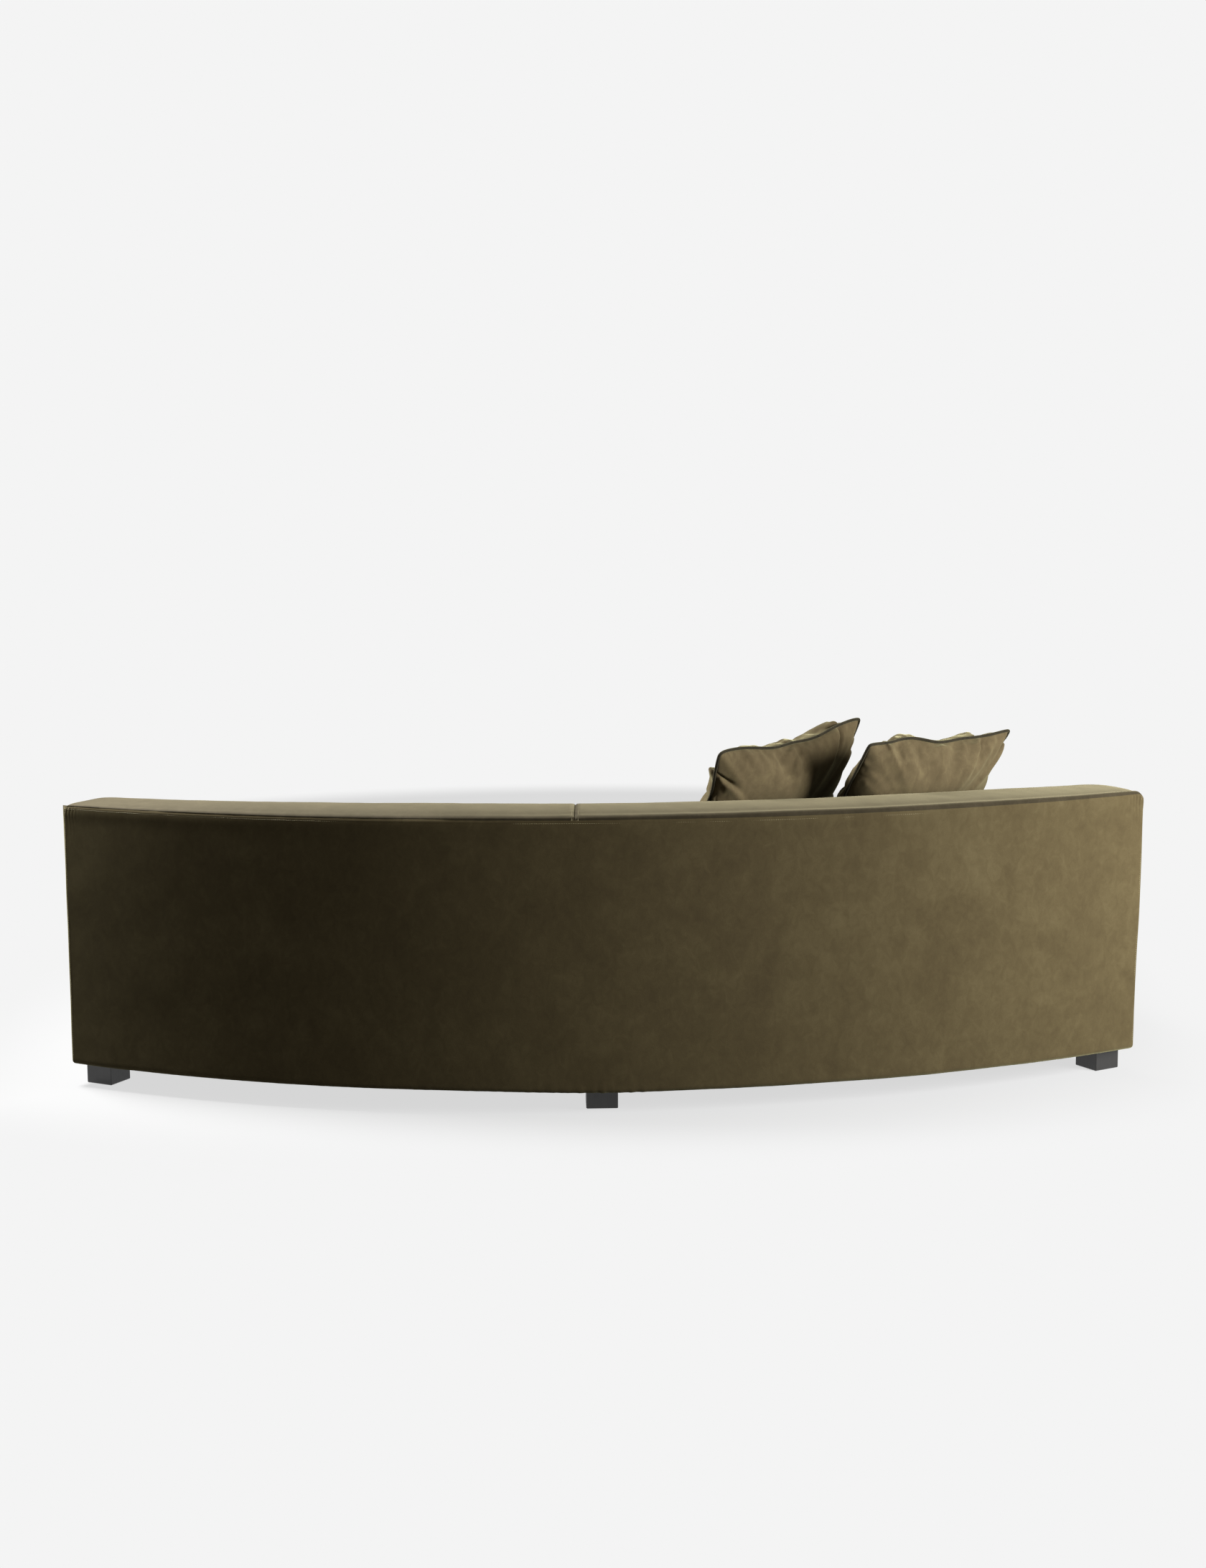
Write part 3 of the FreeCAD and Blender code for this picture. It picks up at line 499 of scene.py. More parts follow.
sweep("outsideBack", backOuter, backInner, backAngles, backShape, sofaVelvet, "velvet",
      replaced=("outside_back_cover", "outside_back_wadding"), fill=0.95)


def cornerLine(side, inset):
    line = []
    for z in np.linspace(bottom + 0.02, seamHeight - backPanel["stitchDrop"], 160):
        angle = side * (halfAngle - toAngle(inset))
        line.append(at(R - 0.0002, angle - toAngle(spreadCorner(angle, R, z)), z))
    return line


stitchRow("outsideBackStitches", [
    arcLine(R - 0.0004, seamHeight - backPanel["stitchDrop"], halfAngle - 0.003, 400),
    cornerLine(1, backPanel["cornerStitch"]), cornerLine(-1, backPanel["cornerStitch"])], "root")
print("outside back sewn")


# top roll: two velvet halves over foam, with a stitch row each side of their seam

topRoll = {
    "step": 0.008,
    "swell": 0.0016,
    "seamSink": 0.0024,
    "halfSeamSink": 0.0035,
    "stitchGap": 0.0074,       # from the halves' seam to each stitch row
    "endRound": 0.020,
    "dome": 0.058,
    "rise": 0.0205,
    "lip": (2.603, 0.706),     # points of the section, from the seat side to the crown
    "lipMiddle": (2.6095, 0.7200),
    "shoulder": (2.623, 0.7271),
    "topMiddle": (2.680, 0.7402),
    "crown": (2.740, 0.7455),
    "roundness": 0.6,
    "overhang": 0.0042,        # fullness over the seam below, growing towards the sitter's right
    "slack": 0.0012,
    "leftSag": (0.017, math.radians(8)),     # how far the roll sinks by the end, and where that starts
    "rightSag": (0.0095, math.radians(18)),
}
lip, crownRadius = topRoll["lip"][0], topRoll["crown"][0]
rollOuter = resample([(lip, frameTop), topRoll["lip"]], 0.003)
rollOuter += curvePoints(topRoll["lip"], topRoll["lipMiddle"], topRoll["shoulder"], 8)
rollOuter += curvePoints(topRoll["shoulder"], topRoll["topMiddle"], topRoll["crown"], 14)
for share in np.sin(np.linspace(0, math.pi / 2, 21))[1:]:
    rollOuter.append((crownRadius + (R - crownRadius) * share,
                      seamHeight + topRoll["rise"] * (1 - share * share) ** topRoll["roundness"]))
rollInner = [(2.846, 0.725), (2.846, frameTop)]
rollSeam = toAngle(sofa["seamOffset"])


def rollSag(angle, r, z):
    # the roll sinks towards each end, and its last stretch closes in a dome over the corner
    look = topRoll
    sag, start = look["leftSag"] if angle > 0 else look["rightSag"]
    along = max(abs(angle) - start, 0.0) / (halfAngle - start)
    end = min((halfAngle - abs(angle)) * R / look["dome"], 1.0)
    rise = math.sqrt(max(1 - (1 - max(end, 0.0)) ** 2, 0.01))
    sunk = sag * along ** 1.25
    sunk += (look["rise"] - sunk) * (1 - rise)
    if r > crownRadius:
        return sunk * max(z - seamHeight, 0.0) / look["rise"]
    return sunk * smooth((r - lip) / 0.012)


def rollShape(angle, s, total, r, z):
    look = topRoll
    x = R * angle
    end = (halfAngle - abs(angle)) * R
    toSeam = abs(angle - rollSeam) * R
    edge = min(s, total - s)
    push = look["swell"] * smooth(edge / 0.05) - look["seamSink"] * bell(edge, 0.0032)
    push += look["overhang"] * (0.2 + 0.8 * smooth(0.5 - x / 1.2)) * bell(total - s - 0.012, 0.008)
    push -= look["halfSeamSink"] * bell(toSeam, 0.0035)
    push -= 0.0006 * bell(toSeam - look["stitchGap"], 0.0025)
    push += look["slack"] * ripple(x * 0.6, r, z, 0.11, 7.0) + 0.4 * look["slack"] * ripple(x, r, z, 0.04, 8.0)
    # small wrinkles drawn in along the halves' seam
    push += 0.0006 * math.exp(-toSeam / 0.02) * smooth(toSeam / 0.004) * math.sin(r * 420 + 3 * ripple(x, r, z, 0.02))
    if end < look["endRound"]:
        push -= 0.0025 * (1 - end / look["endRound"]) ** 2
    return push, -toAngle(spreadCorner(angle, r, z)), rollSag(angle, r, z) + topCorner(end, z)


# both halves of the roll use the darker roll velvet, whose base colour is painted shade
for side, first, last in (("Left", rollSeam, halfAngle), ("Right", -halfAngle, rollSeam)):
    sweep("topRoll" + side, rollOuter, rollInner, spread(first, last, topRoll["step"], R, 0.060), rollShape,
          rollShadedVelvet, "velvet", replaced=("top_roll_cover_" + side.lower(), "top_roll_foam"), fill=0.9)
rollStitchLines = []
for sign in (-1, 1):
    turn = rollSeam + sign * toAngle(topRoll["stitchGap"])
    rollStitchLines.append([at(r, turn, z + 0.0004) for r, z in rollOuter[6:]])
stitchRow("topRollStitches", rollStitchLines, "root")
print("top roll sewn")


# ends of the body: a pad under a fitted panel

def bodyOutline(inset):
    front, rear = F + inset, R - inset
    floor, deck = bottom + inset, deckHeight - inset
    lowRound, edge = 0.012, 0.0165
    path = [(front + lowRound, floor), (rear - lowRound, floor)]
    path += curvePoints(path[-1], (rear - lowRound * 0.2929, floor + lowRound * 0.2929), (rear, floor + lowRound), 5)
    path.append((rear, 0.725))
    path += curvePoints((rear, 0.725), (2.843 - inset, 0.7351 - inset), (2.830, 0.7406 - inset), 5)
    path += curvePoints((2.830, 0.7406 - inset), (2.740, 0.7455 - inset), (2.623, 0.7271 - inset), 10)
    path += curvePoints((2.623, 0.7271 - inset), (2.6095 + inset, 0.7200 - inset), (lip + inset, 0.706), 5)
    path.append((lip + inset, frameTop))
    for i in range(1, 13):
        z = frameTop + (deck - frameTop) * i / 12
        path.append((insideBack(z) + inset, z))
    path.append((front + edge, deck))
    path += curvePoints((front + edge, deck), (front + edge * 0.2929, deck - edge * 0.2929), (front, deck - edge), 5)
    path.append((front, floor + lowRound))
    path += curvePoints((front, floor + lowRound), (front + lowRound * 0.2929, floor + lowRound * 0.2929), path[0], 5)
    return path[:-1]


def insideBack(z):
    share = min(max((z - deckHeight) / (frameTop - deckHeight), 0.0), 1.0)
    return sofa["deckBack"] + sofa["backRake"] * share ** 2


endPanel = {
    "thickness": 0.0135,
    "seamSink": 0.0032,
    "edgeGap": 0.0016,         # the panel's edge lies this far inside the body's outline
    "bulge": 0.0062,
    "lowBulge": 0.0022,
    "step": 0.011,
}


def endCover(name, side, replaced):
    look = endPanel
    insets = (look["edgeGap"], 0.003, 0.005, 0.008, 0.013)
    loops = [resample(bodyOutline(d) + bodyOutline(d)[:1], look["step"] * (0.55 if i < 4 else 0.8))[:-1]
             for i, d in enumerate(insets)]
    outline = np.array(loops[0] + loops[0][:1])
    flat = [p for loop in loops for p in loop]
    r = F + 0.02
    while r < R:
        z = bottom + 0.02
        while z < 0.745:
            if np.hypot(*(outline - (r, z)).T).min() > 0.02 and inPolygon(r, z, outline):
                flat.append((r, z))
            z += look["step"]
        r += look["step"]
    rim = len(loops[0])
    result = delaunay_2d_cdt([Vector(p) for p in flat], [(i, (i + 1) % rim) for i in range(rim)], [], 1, 1e-7)
    spots, triangles = result[0], result[2]
    segments = outline[1:] - outline[:-1]
    points = []
    for p in spots:
        away = np.array(p) - outline[:-1]
        share = np.clip((away * segments).sum(1) / (segments ** 2).sum(1), 0, 1)[:, None]
        d = np.hypot(*(away - share * segments).T).min()
        upper = smooth((p.y - 0.22) / 0.3)
        out = -look["seamSink"] * bell(d, 0.004)
        out += (look["lowBulge"] + (look["bulge"] - look["lowBulge"]) * upper) * smooth(d / 0.11) ** 0.6
        out += 0.0008 * ripple(p.x, p.y, side, 0.12, 4.0) * smooth(d / 0.03)
        points.append(endPoint(p, side, out))
    count = len(points)
    for p in spots:
        points.append(endPoint(p, side, -look["thickness"]))
    faces = [tuple(t) for t in triangles] + [tuple(i + count for i in reversed(t)) for t in triangles]
    edges = {}
    for t in triangles:
        for a, b in zip(t, t[1:] + t[:1]):
            edges[(a, b)] = edges.get((a, b), 0) + 1
    faces += [(b, a, a + count, b + count) for a, b in edges if (b, a) not in edges]
    return meshPiece(name, points, faces, sofaVelvet, "root", "velvet", replaced, 0.85)


def inPolygon(x, y, outline):
    a, b = outline[:-1], outline[1:]
    crosses = ((a[:, 1] > y) != (b[:, 1] > y)) & (x < (b[:, 0] - a[:, 0]) * (y - a[:, 1]) / (b[:, 1] - a[:, 1] + 1e-12)
                                                  + a[:, 0])
    return crosses.sum() % 2 == 1


def endPoint(p, side, out):
    # the panel follows the roll's sag and the spread corner
    sag = rollSag(side * halfAngle, p[0], p[1]) * smooth((p[1] - 0.66) / 0.06)
    sag += topCorner(0.4 * (R - p[0]), p[1])
    out += spreadCorner(side * halfAngle, p[0], p[1]) if side < 0 else 0.0
    x, y, z = at(p[0], side * halfAngle, p[1] - sag)
    return (x + side * out * math.cos(halfAngle), y - out * math.sin(halfAngle), z)


endCover("endPanelLeft", 1, ("end_cover_left", "end_pad_left"))
endCover("endPanelRight", -1, ("end_cover_right", "end_pad_right"))
print("ends padded")


# inside back, in two halves, and the front border

insidePanel = {"step": 0.012, "swell": 0.003, "seamSink": 0.004, "slack": 0.0012}


def insideShape(angle, s, total, r, z):
    look = insidePanel
    x = R * angle
    edge = min(total - s, abs(x))
    push = look["swell"] * smooth(edge / 0.12) * smooth((z - 0.44) / 0.08) - look["seamSink"] * bell(edge, 0.006)
    push += look["slack"] * ripple(x, 0, z, 0.16, 11.0) * smooth((z - 0.44) / 0.05)
    return push, 0.0, 0.0


insideOuter = [(insideBack(z), z) for z in np.linspace(deckHeight + 0.001, frameTop, 50)]
for side, first, last in (("Left", 0.0, halfAngle - 0.0006), ("Right", -halfAngle + 0.0006, 0.0)):
    name = side.lower()
    sweep("insideBack" + side, insideOuter, [(2.657, frameTop), (2.657, deckHeight + 0.001)],
          spread(first, last, insidePanel["step"], R, 0.03), insideShape, sofaVelvet, "velvet",
          replaced=("inside_back_cover_" + name, "inside_back_foam_" + name), fill=0.85)

frontBorder = {
    "step": 0.010, "swell": 0.002, "slack": 0.0008, "pucker": 0.001, "bottomRadius": 0.012, "turnUnder": 0.0415,
    "deckRound": 0.0165, "reach": 0.067, "thickness": 0.022,
}


def borderShape(angle, s, total, r, z):
    look = frontBorder
    x = F * angle
    push = look["swell"] * smooth(min(z - bottom, deckHeight - z) / 0.08)
    push += look["slack"] * ripple(x, 0, z, 0.15, 13.0)
    push += look["pucker"] * math.exp(-max(z - 0.064, 0) / 0.02) * ripple(x, 0, z * 0.3, 0.016, 14.0)
    end = (halfAngle - abs(angle)) * F
    if end < 0.006:
        push -= 0.0045 * (1 - end / 0.006) ** 2
    return push, 0.0, 0.0


under, top = F + frontBorder["turnUnder"], F + frontBorder["reach"]
low, edge = frontBorder["bottomRadius"], frontBorder["deckRound"]
borderOuter = resample([(under, bottom), (F + low, bottom)], 0.008)
borderOuter += curvePoints((F + low, bottom), (F + 0.0035, bottom + 0.0035), (F, bottom + low), 5)
borderOuter += resample([(F, bottom + low), (F, deckHeight - edge)], 0.008)[1:]
borderOuter += curvePoints((F, deckHeight - edge), (F + 0.0048, deckHeight - 0.0048), (F + edge, deckHeight), 6)
borderOuter += resample([(F + edge, deckHeight), (top, deckHeight)], 0.01)[1:]
inside = F + frontBorder["thickness"]
borderInner = [(top, sofa["deckUnder"]), (inside, sofa["deckUnder"]), (inside, 0.0635), (under, 0.0635)]
sweep("frontBorder", borderOuter, borderInner, spread(-halfAngle, halfAngle, frontBorder["step"], F, 0.03),
      borderShape, sofaVelvet, "velvet", replaced=("front_border_cover", "front_border_foam"), fill=0.9)


# deck under the seat cushions, and the dust cover stapled under the frame

def deckShape(angle, s, total, r, z):
    return (-0.0012 + 0.0012 * ripple(F * angle, r, 0, 0.09, 21.0) if z > 0.284 else 0.0), 0.0, 0.0


deckOuter = resample([(top, deckHeight), (sofa["deckBack"] + 0.001, deckHeight)], 0.02)
sweep("deck", deckOuter, [(sofa["deckBack"] + 0.001, sofa["deckUnder"]), (top, sofa["deckUnder"])],
      spread(-halfAngle + 0.0008, halfAngle - 0.0008, 0.02, F), deckShape, finishes["lining"], "lining",
      replaced=("deck_cover", "deck_pad"), fill=0.9)

dustCover = {"sag": 0.0035, "sagFrom": 2.03, "sagTo": 2.70, "staplePitch": 0.045, "stapleWidth": 0.011,
             "stapleInset": 0.047}


def dustShape(angle, s, total, r, z):
    middle = smooth((r - dustCover["sagFrom"]) / 0.2) * smooth((dustCover["sagTo"] - r) / 0.2)
    bay = abs(math.sin(2 * math.pi * angle / halfAngle)) ** 0.7
    return dustCover["sag"] * middle * bay + 0.0006 * ripple(F * angle, r, 0, 0.06, 23.0) * middle, 0.0, 0.0


dustOuter = resample([(R - backPanel["turnUnder"], bottom), (under, bottom)], 0.018)
dustInner = [(r, z + 0.0012) for r, z in reversed(dustOuter)]
dustReach = halfAngle - 0.007
dustPiece = sweep("dustCover", dustOuter, dustInner, spread(-dustReach, dustReach, 0.02, F), dustShape,
                  finishes["lining"], "lining", replaced=("dust_cover",))

stapleTree, given = nodeGroup("Staple row", [("Pitch", "Float", 0.045), ("Width", "Float", 0.011),
                                             ("Wire", "Float", 0.0011), ("Finish", "Material", None)])
stapleSize = addNode(stapleTree, "ShaderNodeCombineXYZ", {"X": given["Width"], "Y": given["Wire"], "Z": given["Wire"]})
crown = addNode(stapleTree, "GeometryNodeMeshCube", {"Size": stapleSize.outputs[0]})
rowAlongCurve(stapleTree, given, crown, addNode(stapleTree, "GeometryNodeInputTangent"), given["Finish"])
inset = dustCover["stapleInset"]
stapleLines = [arcLine(r, bottom - 0.0003, halfAngle - 0.012, 300) for r in (R - inset, F + inset)]
fromNodes("dustCoverStaples", pathObject("staplePath", stapleLines), stapleTree,
          {"Pitch": dustCover["staplePitch"], "Width": dustCover["stapleWidth"], "Finish": finishes["zinc_steel"]},
          finishes["zinc_steel"], "root", "zinc_steel")
print("front, deck and underside covered")


# seat cushions: crowned foam in a fitted cover with a boxed border

seatCushion = {
    "border": 0.130, "crown": 0.022, "endDrop": 0.006, "bulge": 0.006, "draw": 0.007, "edgeCrown": 0.001,
    "roundness": 0.7, "frontInset": 0.003, "backGap": 0.004, "gap": 0.005, "endGap": 0.008, "floorGap": 0.0003,
    "edgeRound": 0.016,
    "endBulge": 0.005,
    "seamSink": 0.003,
    "slack": 0.0012,
    "step": 0.013,
    "stitchGap": 0.007,
}


def cushionLoop(t):
    look = seatCushion
    fullness = max(0.0, 1 - t * t)
    r0 = F + look["frontInset"] + look["bulge"] + look["draw"] * fullness
    r1 = sofa["deckBack"] - look["backGap"] - look["bulge"] - look["draw"] * fullness
    z0 = deckHeight + look["floorGap"]
    z1 = z0 + look["border"] - look["endDrop"] * t * t
    crown = z1 + look["crown"] * fullness ** look["roundness"] + look["edgeCrown"]
    middle = (z0 + z1) / 2
    loop = resample([(r1, z0), (r0, z0)], 0.02)
    front = curvePoints((r0, z0), (r0 - look["bulge"], middle), (r0, z1), 14)
    top = curvePoints((r0, z1), ((r0 + r1) / 2, crown), (r1, z1), 56)
    back = curvePoints((r1, z1), (r1 + look["bulge"], middle), (r1, z0), 14)
    marks = (len(loop) + 13, len(loop) + 69)
    return np.array((loop + front + top + back)[:-1]), marks


def cushionMesh(name, first, last, body, replaced):
    look = seatCushion
    angles = spread(first, last, look["step"], F, 0.03)
    rows, seamLines = [], {"front": [], "back": []}
    count = len(cushionLoop(0)[0])
    for angle in angles:
        t = (2 * angle - first - last) / (last - first)
        loop, marks = cushionLoop(t)
        end = min(angle - first, last - angle) * F
        middle = (loop.max(0) + loop.min(0)) / 2
        spreadR, spreadZ = (loop.max(0) - loop.min(0)) / 2
        inset = look["edgeRound"] * (1 - math.sqrt(max(0.0, 1 - (1 - min(end / look["edgeRound"], 1)) ** 2))) * 0.6
        row = []
        for i, (r, z) in enumerate(loop):
            before, after = loop[i - 1], loop[(i + 1) % count]
            dr, dz = after - before
            size = math.hypot(dr, dz) or 1
            toSeam = min(math.dist((r, z), loop[marks[0]]), math.dist((r, z), loop[marks[1]]))
            push = -look["seamSink"] * bell(toSeam, 0.004)
            push -= 0.0006 * bell(toSeam - look["stitchGap"], 0.0025)
            if z > deckHeight + 0.02:
                push += look["slack"] * ripple(F * angle, r, z, 0.13, 31.0)
            nr, nz = r - push * dz / size, z + push * dr / size
            nr = middle[0] + (nr - middle[0]) * (1 - inset / spreadR)
            nz = middle[1] + (nz - middle[1]) * (1 - inset / spreadZ) if z > deckHeight + 0.004 else z
            row.append((nr, nz))
        rows.append(row)
        if end > 0.02:
            for key, mark, sign in (("front", marks[0], 1), ("back", marks[1], -1)):
                r, z = row[mark]
                r2, z2 = row[mark + sign]
                share = look["stitchGap"] / math.dist((r, z), (r2, z2))
                seamLines[key].append(at(r + (r2 - r) * share, angle, z + (z2 - z) * share + 0.0006))
    points = [at(r, angle, z) for row, angle in zip(rows, angles) for r, z in row]
    faces = tubeFaces(len(angles), count)
    for j, sign in ((0, -1), (len(angles) - 1, 1)):
        ring = list(range(j * count, (j + 1) * count))
        loop = np.array(rows[j])
        middle = (loop.max(0) + loop.min(0)) / 2
        for share in (0.97, 0.9, 0.78, 0.6, 0.38, 0.15):
            base = len(points)
            out = look["endBulge"] * (1 - share ** 2) / F
            for r, z in loop:
                points.append(at(middle[0] + (r - middle[0]) * share, angles[j] + sign * out,
                                 middle[1] + (z - middle[1]) * share))
            new = list(range(base, base + count))
            faces += [(ring[i], ring[(i + 1) % count], new[(i + 1) % count], new[i]) for i in range(count)]
            ring = new
        faces.append(tuple(ring))
    meshPiece(name, points, faces, sofaVelvet, body, "velvet", replaced, 0.8)
    stitchRow(name + "Stitches", list(seamLines.values()), body)


cushionMiddle = seatCushion["gap"] / 2 / (F + seatCushion["frontInset"])
cushionEnd = halfAngle - seatCushion["endGap"] / (F + seatCushion["frontInset"])
endShrink = 0.0035 / F
cushionMesh("seatCushionLeft", cushionMiddle + endShrink / 2, cushionEnd - endShrink, "seat_cushion_left",
            ("seat_cushion_left_cover", "seat_cushion_left_foam"))
cushionMesh("seatCushionRight", -cushionEnd + endShrink, -cushionMiddle - endShrink / 2, "seat_cushion_right",
            ("seat_cushion_right_cover", "seat_cushion_right_foam"))
print("seat cushions made")


# scatter pillows: two squares of velvet sewn together round a piping, then filled

pillow = {
    "side": 0.516,
    "wave": 0.0026,            # how far the sewn edge strays from its outline
    "cut": 0.560,              # side of the flat squares, before the filling draws them in
    "corner": 0.030,
    "thickness": 0.162,
    "grid": 72,
    "pressure": 6.5,
    "frames": 26,
    "calm": 3,                 # passes that even out the finest folds
    "pipingRadius": 0.004,
    "slip": (0.004, 0.004, 0.0),   # how far the cover has slipped on its filling, in the pillow's own plane
}
innerPillow = {"along": 0.480, "turn": 33.4, "lean": 32.0, "tip": 6.0, "pull": 0.019, "seed": 3}
outerPillow = {"along": 0.925, "turn": 16.0, "lean": 32.5, "tip": -1.0, "pull": 0.017, "seed": 8}


def pillowPlace(spec, body):
    turned = (Matrix.Rotation(spec["along"] / R, 3, "Z") @ Matrix.Rotation(math.radians(spec["turn"]), 3, "Z")
              @ Matrix.Rotation(-math.radians(spec["lean"]), 3, "X") @ Matrix.Rotation(math.radians(90), 3, "X")
              @ Matrix.Rotation(-math.radians(spec["tip"]), 3, "Z"))
    # the frame's pillow gives the centre
    insert = nodes[body + "_insert"]
    spots = np.array([(insert.matrix_world @ v.co)[:] for v in insert.data.vertices]) @ np.array(turned)
    centre = turned @ Vector((spots.max(0) + spots.min(0)) / 2)
    return Matrix.Translation(centre) @ turned.to_4x4()


def roundedSpot(u, v, half, corner):
    # keeps the square's grid, but draws its corners in to a round
    x, y = u * half, v * half
    dx, dy = abs(x) - (half - corner), abs(y) - (half - corner)
    if dx > 0 and dy > 0:
        reach = math.hypot(dx, dy)
        square = max(dx, dy)
        x = math.copysign(half - corner + dx * square / reach, x)
        y = math.copysign(half - corner + dy * square / reach, y)
    return x, y


def sewnCase(name, look, seed):
    n = look["grid"]
    half = look["cut"] / 2
    random.seed(seed)
    points, index = [], {}
    for layer in (1, -1):
        for i in range(n + 1):
            for j in range(n + 1):
                rim = i in (0, n) or j in (0, n)
                if layer == -1 and rim:
                    index[(layer, i, j)] = index[(1, i, j)]
                    continue
                u, v = 2 * i / n - 1, 2 * j / n - 1
                x, y = roundedSpot(u, v, half, look["corner"])
                z = 0.0
                if not rim:
                    z = layer * (0.004 + 0.03 * (1 - u * u) * (1 - v * v) + random.uniform(-0.0008, 0.0008))
                index[(layer, i, j)] = len(points)
                points.append((x, y, z))
    faces = []
    for layer in (1, -1):
        for i in range(n):
            for j in range(n):
                quad = [index[(layer, i, j)], index[(layer, i + 1, j)], index[(layer, i + 1, j + 1)],
                        index[(layer, i, j + 1)]]
                faces.append(tuple(quad if layer == 1 else reversed(quad)))
    mesh = bpy.data.meshes.new(name)
    mesh.from_pydata(points, [], faces)
    seam = ([index[(1, i, 0)] for i in range(n)] + [index[(1, n, j)] for j in range(n)]
            + [index[(1, i, n)] for i in range(n, 0, -1)] + [index[(1, 0, j)] for j in range(n, 0, -1)])
    return newObject(name, mesh), seam


clothLook = {
    "quality": 6, "mass": 0.25, "tension_stiffness": 22, "compression_stiffness": 12, "shear_stiffness": 6,
    "bending_stiffness": 0.6, "tension_damping": 12, "compression_damping": 12, "shear_damping": 8, "air_damping": 4,
    "use_pressure": True,
}


def fillCase(case, look):
    cloth = case.modifiers.new("Filling", "CLOTH")
    for key, value in clothLook.items():
        setattr(cloth.settings, key, value)
    cloth.settings.uniform_pressure_force = look["pressure"]
    cloth.settings.effector_weights.gravity = 0
    cloth.collision_settings.use_collision = False
    cloth.point_cache.frame_start = 1
    cloth.point_cache.frame_end = look["frames"]
    scene = bpy.context.scene
    for step in range(1, look["frames"] + 1):
        scene.frame_set(step)
    calm = case.modifiers.new("Calm", "SMOOTH")
    calm.factor = 0.5
    calm.iterations = look["calm"]
    evaluated = case.evaluated_get(bpy.context.evaluated_depsgraph_get())
    spots = np.array([v.co[:] for v in evaluated.data.vertices])
    case.modifiers.clear()
    scene.frame_set(1)
    return spots


def sewnOutline(spots, seam, look, pull, seed):
    # draws the seam to its measured outline: ears at the corners, sides drawn in between them
    turns = np.arctan2(spots[:, 1], spots[:, 0])
    reach = np.hypot(spots[:, 0], spots[:, 1])
    order = np.argsort(turns[seam])
    found = np.interp(turns, turns[seam][order], reach[seam][order], period=2 * math.pi)
    ray = np.maximum(np.abs(np.cos(turns)), np.abs(np.sin(turns)))
    across = np.minimum(np.abs(np.cos(turns)), np.abs(np.sin(turns))) / ray
    half = look["side"] / 2
    wanted = (half - pull * (1 - across ** 2)) / ray
    corner = np.clip((across - 0.86) / 0.14, 0, 1)
    wanted -= corner ** 2 * look["corner"] * 0.22
    # the seam waves where the filling is uneven
    wave = np.sin(5 * turns + seed) + 0.7 * np.sin(9 * turns + 2 * seed)
    wanted += look["wave"] * wave
    share = wanted / found
    rim = np.clip(reach / found, 0, 1) ** 3
    return np.c_[spots[:, 0] * share, spots[:, 1] * share, spots[:, 2] + 2.2 * look["wave"] * wave * rim]


def makePillow(name, spec, body):
    look = pillow
    case, seam = sewnCase(name, look, spec["seed"])
    spots = fillCase(case, look)
    spots -= (spots.max(0) + spots.min(0)) / 2
    size = spots.max(0) - spots.min(0)
    spots *= np.array([look["side"] / size[0], look["side"] / size[1], look["thickness"] / size[2]])
    spots = sewnOutline(spots, seam, look, spec["pull"], spec["seed"]) + np.array(look["slip"])
    place = np.array(pillowPlace(spec, body))
    placed = spots @ place[:3, :3].T + place[:3, 3]
    case.data.vertices.foreach_set("co", placed.astype(np.float32).ravel())
    case.data.update()
    finer = case.modifiers.new("Finer", "SUBSURF")
    finer.levels = finer.render_levels = 1
    placePiece(case, pillowVelvet, body, "pillow_velvet", (body + "_cover", body + "_insert"), 0.65)

    # the piping follows the seam, standing just outside it
    line = placed[seam]
    for _ in range(2):
        line = (np.roll(line, 1, 0) + 2 * line + np.roll(line, -1, 0)) / 4
    outward = line - line.mean(0)
    outward /= np.linalg.norm(outward, axis=1)[:, None]
    line = line + outward * look["pipingRadius"] * 0.8
    tube = pathObject(name + "PipingPath", [line], look["pipingRadius"])
    # the piping's velvet is darkened as painted shade
    placePiece(newObject(name + "Piping", bakedMesh(tube)), pipingShadedVelvet, body, "piping", (body + "_piping",))


makePillow("pillowInner", innerPillow, "pillow_inner")
makePillow("pillowOuter", outerPillow, "pillow_outer")
print("pillows filled")


# floor, world, lamps and camera

studio = {
    "background": "#F4F4F4",
    "floor": "#989898",
    "bounce": "#4A4A4A",       # what the floor throws back on the sofa
    "plainShare": 0.74,        # how much of the floor's own white is left in the deepest shadow
    "halfLength": 1.30,        # the shadow fades out beyond the sofa, over this width
    "fadeWidth": 0.5,
    "softLight": 0.27,
}
floorMesh = bpy.data.meshes.new("floor")
floorMesh.from_pydata([(-30, -30, 0), (30, -30, 0), (30, 30, 0), (-30, 30, 0)], [], [(0, 1, 2, 3)])
newObject("floor", floorMesh)
floorMaterial = bpy.data.materials.new("Pale studio floor")
tree = emptyTree(floorMaterial)
place = addNode(tree, "ShaderNodeTexCoord").outputs["Object"]
fromAxis = addNode(tree, "ShaderNodeMapping", {"Vector": place, "Location": (0, -sofa["axisY"], 0)})
radius = addNode(tree, "ShaderNodeVectorMath", {0: fromAxis.outputs[0]}, operation="LENGTH")
offLine = calc(tree, "ABSOLUTE", calc(tree, "SUBTRACT", radius.outputs["Value"], (R + F) / 2))
across = addNode(tree, "ShaderNodeSeparateXYZ", {0: place})
offEnd = calc(tree, "SUBTRACT", calc(tree, "ABSOLUTE", across.outputs["X"]), studio["halfLength"])
off = calc(tree, "MAXIMUM", calc(tree, "SUBTRACT", offLine, (R - F) / 2), offEnd)
fade = addNode(tree, "ShaderNodeMapRange", {"Value": off, "From Min": 0.0, "From Max": studio["fadeWidth"],
                                            "To Min": studio["plainShare"], "To Max": 1.0},
               interpolation_type="SMOOTHSTEP")
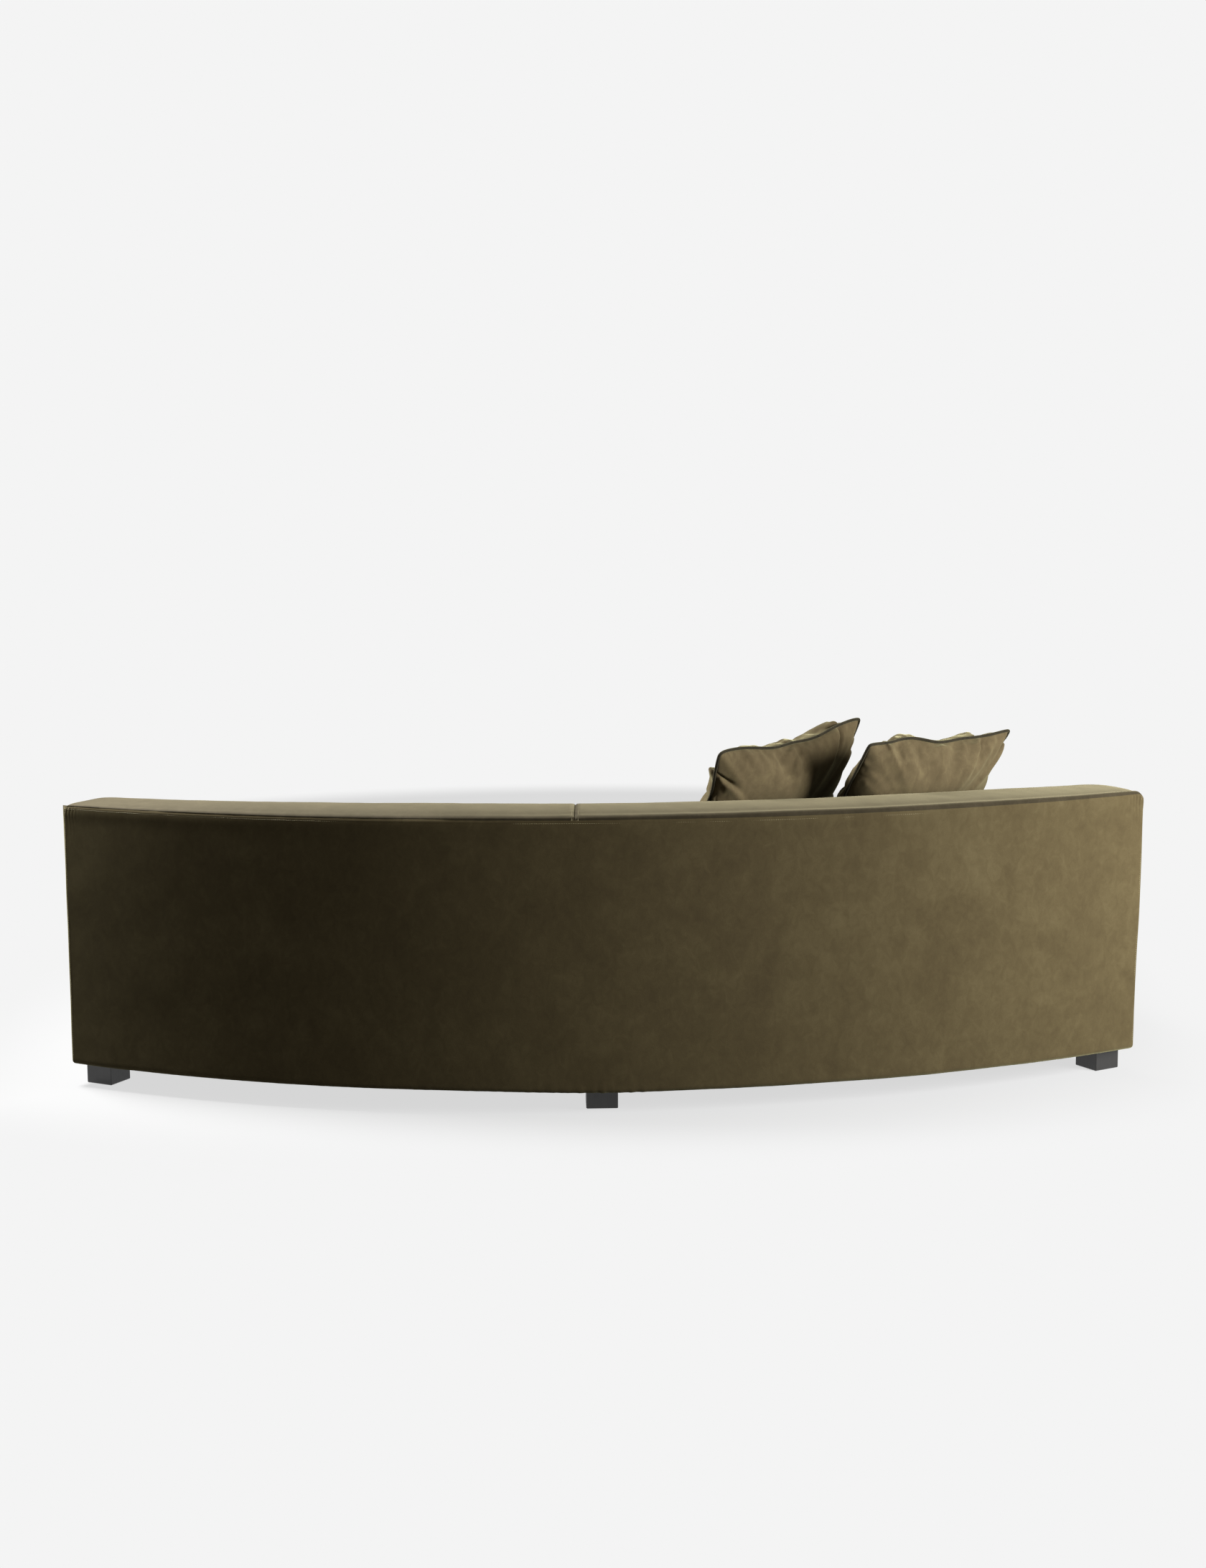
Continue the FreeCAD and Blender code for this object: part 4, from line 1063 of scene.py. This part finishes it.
seenFloor = addNode(tree, "ShaderNodeBsdfDiffuse", {"Color": linear(studio["floor"])})
plain = addNode(tree, "ShaderNodeEmission", {"Color": linear(studio["background"]), "Strength": 1.0})
seen = addNode(tree, "ShaderNodeMixShader", {0: fade.outputs[0], 1: seenFloor.outputs[0], 2: plain.outputs[0]})
dim = addNode(tree, "ShaderNodeBsdfDiffuse", {"Color": linear(studio["bounce"])})
rays = addNode(tree, "ShaderNodeLightPath")
direct = calc(tree, "MAXIMUM", rays.outputs["Is Camera Ray"], rays.outputs["Is Glossy Ray"])
direct = calc(tree, "MAXIMUM", direct, rays.outputs["Is Transmission Ray"])
shown = addNode(tree, "ShaderNodeMixShader", {0: direct, 1: dim.outputs[0], 2: seen.outputs[0]})
addNode(tree, "ShaderNodeOutputMaterial", {"Surface": shown.outputs[0]})
floorMesh.materials.append(floorMaterial)

world = bpy.data.worlds.new("Studio")
bpy.context.scene.world = world
tree = emptyTree(world)
rays = addNode(tree, "ShaderNodeLightPath")
direct = calc(tree, "MAXIMUM", rays.outputs["Is Camera Ray"], rays.outputs["Is Transmission Ray"])
soft = addNode(tree, "ShaderNodeBackground", {"Color": linear(studio["background"]), "Strength": studio["softLight"]})
plain = addNode(tree, "ShaderNodeBackground", {"Color": linear(studio["background"]), "Strength": 1.0})
sky = addNode(tree, "ShaderNodeMixShader", {0: direct, 1: soft.outputs[0], 2: plain.outputs[0]})
addNode(tree, "ShaderNodeOutputWorld", {"Surface": sky.outputs[0]})

# a soft box beyond the sitter's right rear corner, one above the back's left end, and a weaker one above the seat
lamps = {
    "key": {"place": (-3.2, 1.5, 1.25), "aim": (-0.7, 0.4, 0.5), "size": 1.5, "watts": 290},
    "top": {"place": (2.2, -0.25, 2.6), "aim": (0.8, 0.2, 0.7), "size": 1.0, "watts": 310},
    "seat": {"place": (-0.9, -1.3, 2.6), "aim": (-0.5, 0.2, 0.7), "size": 1.3, "watts": 12},
}
for name, look in lamps.items():
    lamp = bpy.data.lights.new(name, "AREA")
    lamp.shape = "DISK"
    lamp.size = look["size"]
    lamp.energy = look["watts"]
    lampObject = newObject(name, lamp)
    lampObject.location = look["place"]
    lampObject.rotation_euler = (Vector(look["aim"]) - Vector(look["place"])).to_track_quat("-Z", "Y").to_euler()

cameraLook = {"place": (0.1942, 6.0594, 1.5378), "towards": (-0.03221, -0.99076, -0.13172), "roll": -0.0062,
              "lens": 53.09}
camera = bpy.data.cameras.new("camera")
camera.lens = cameraLook["lens"]
camera.sensor_width = 36
cameraObject = newObject("camera", camera)
cameraObject.location = cameraLook["place"]
aim = Vector(cameraLook["towards"]).to_track_quat("-Z", "Y") @ Euler((0, 0, cameraLook["roll"])).to_quaternion()
cameraObject.rotation_euler = aim.to_euler()
bpy.context.scene.camera = cameraObject
bpy.context.scene.view_settings.view_transform = "Standard"
print("studio set")
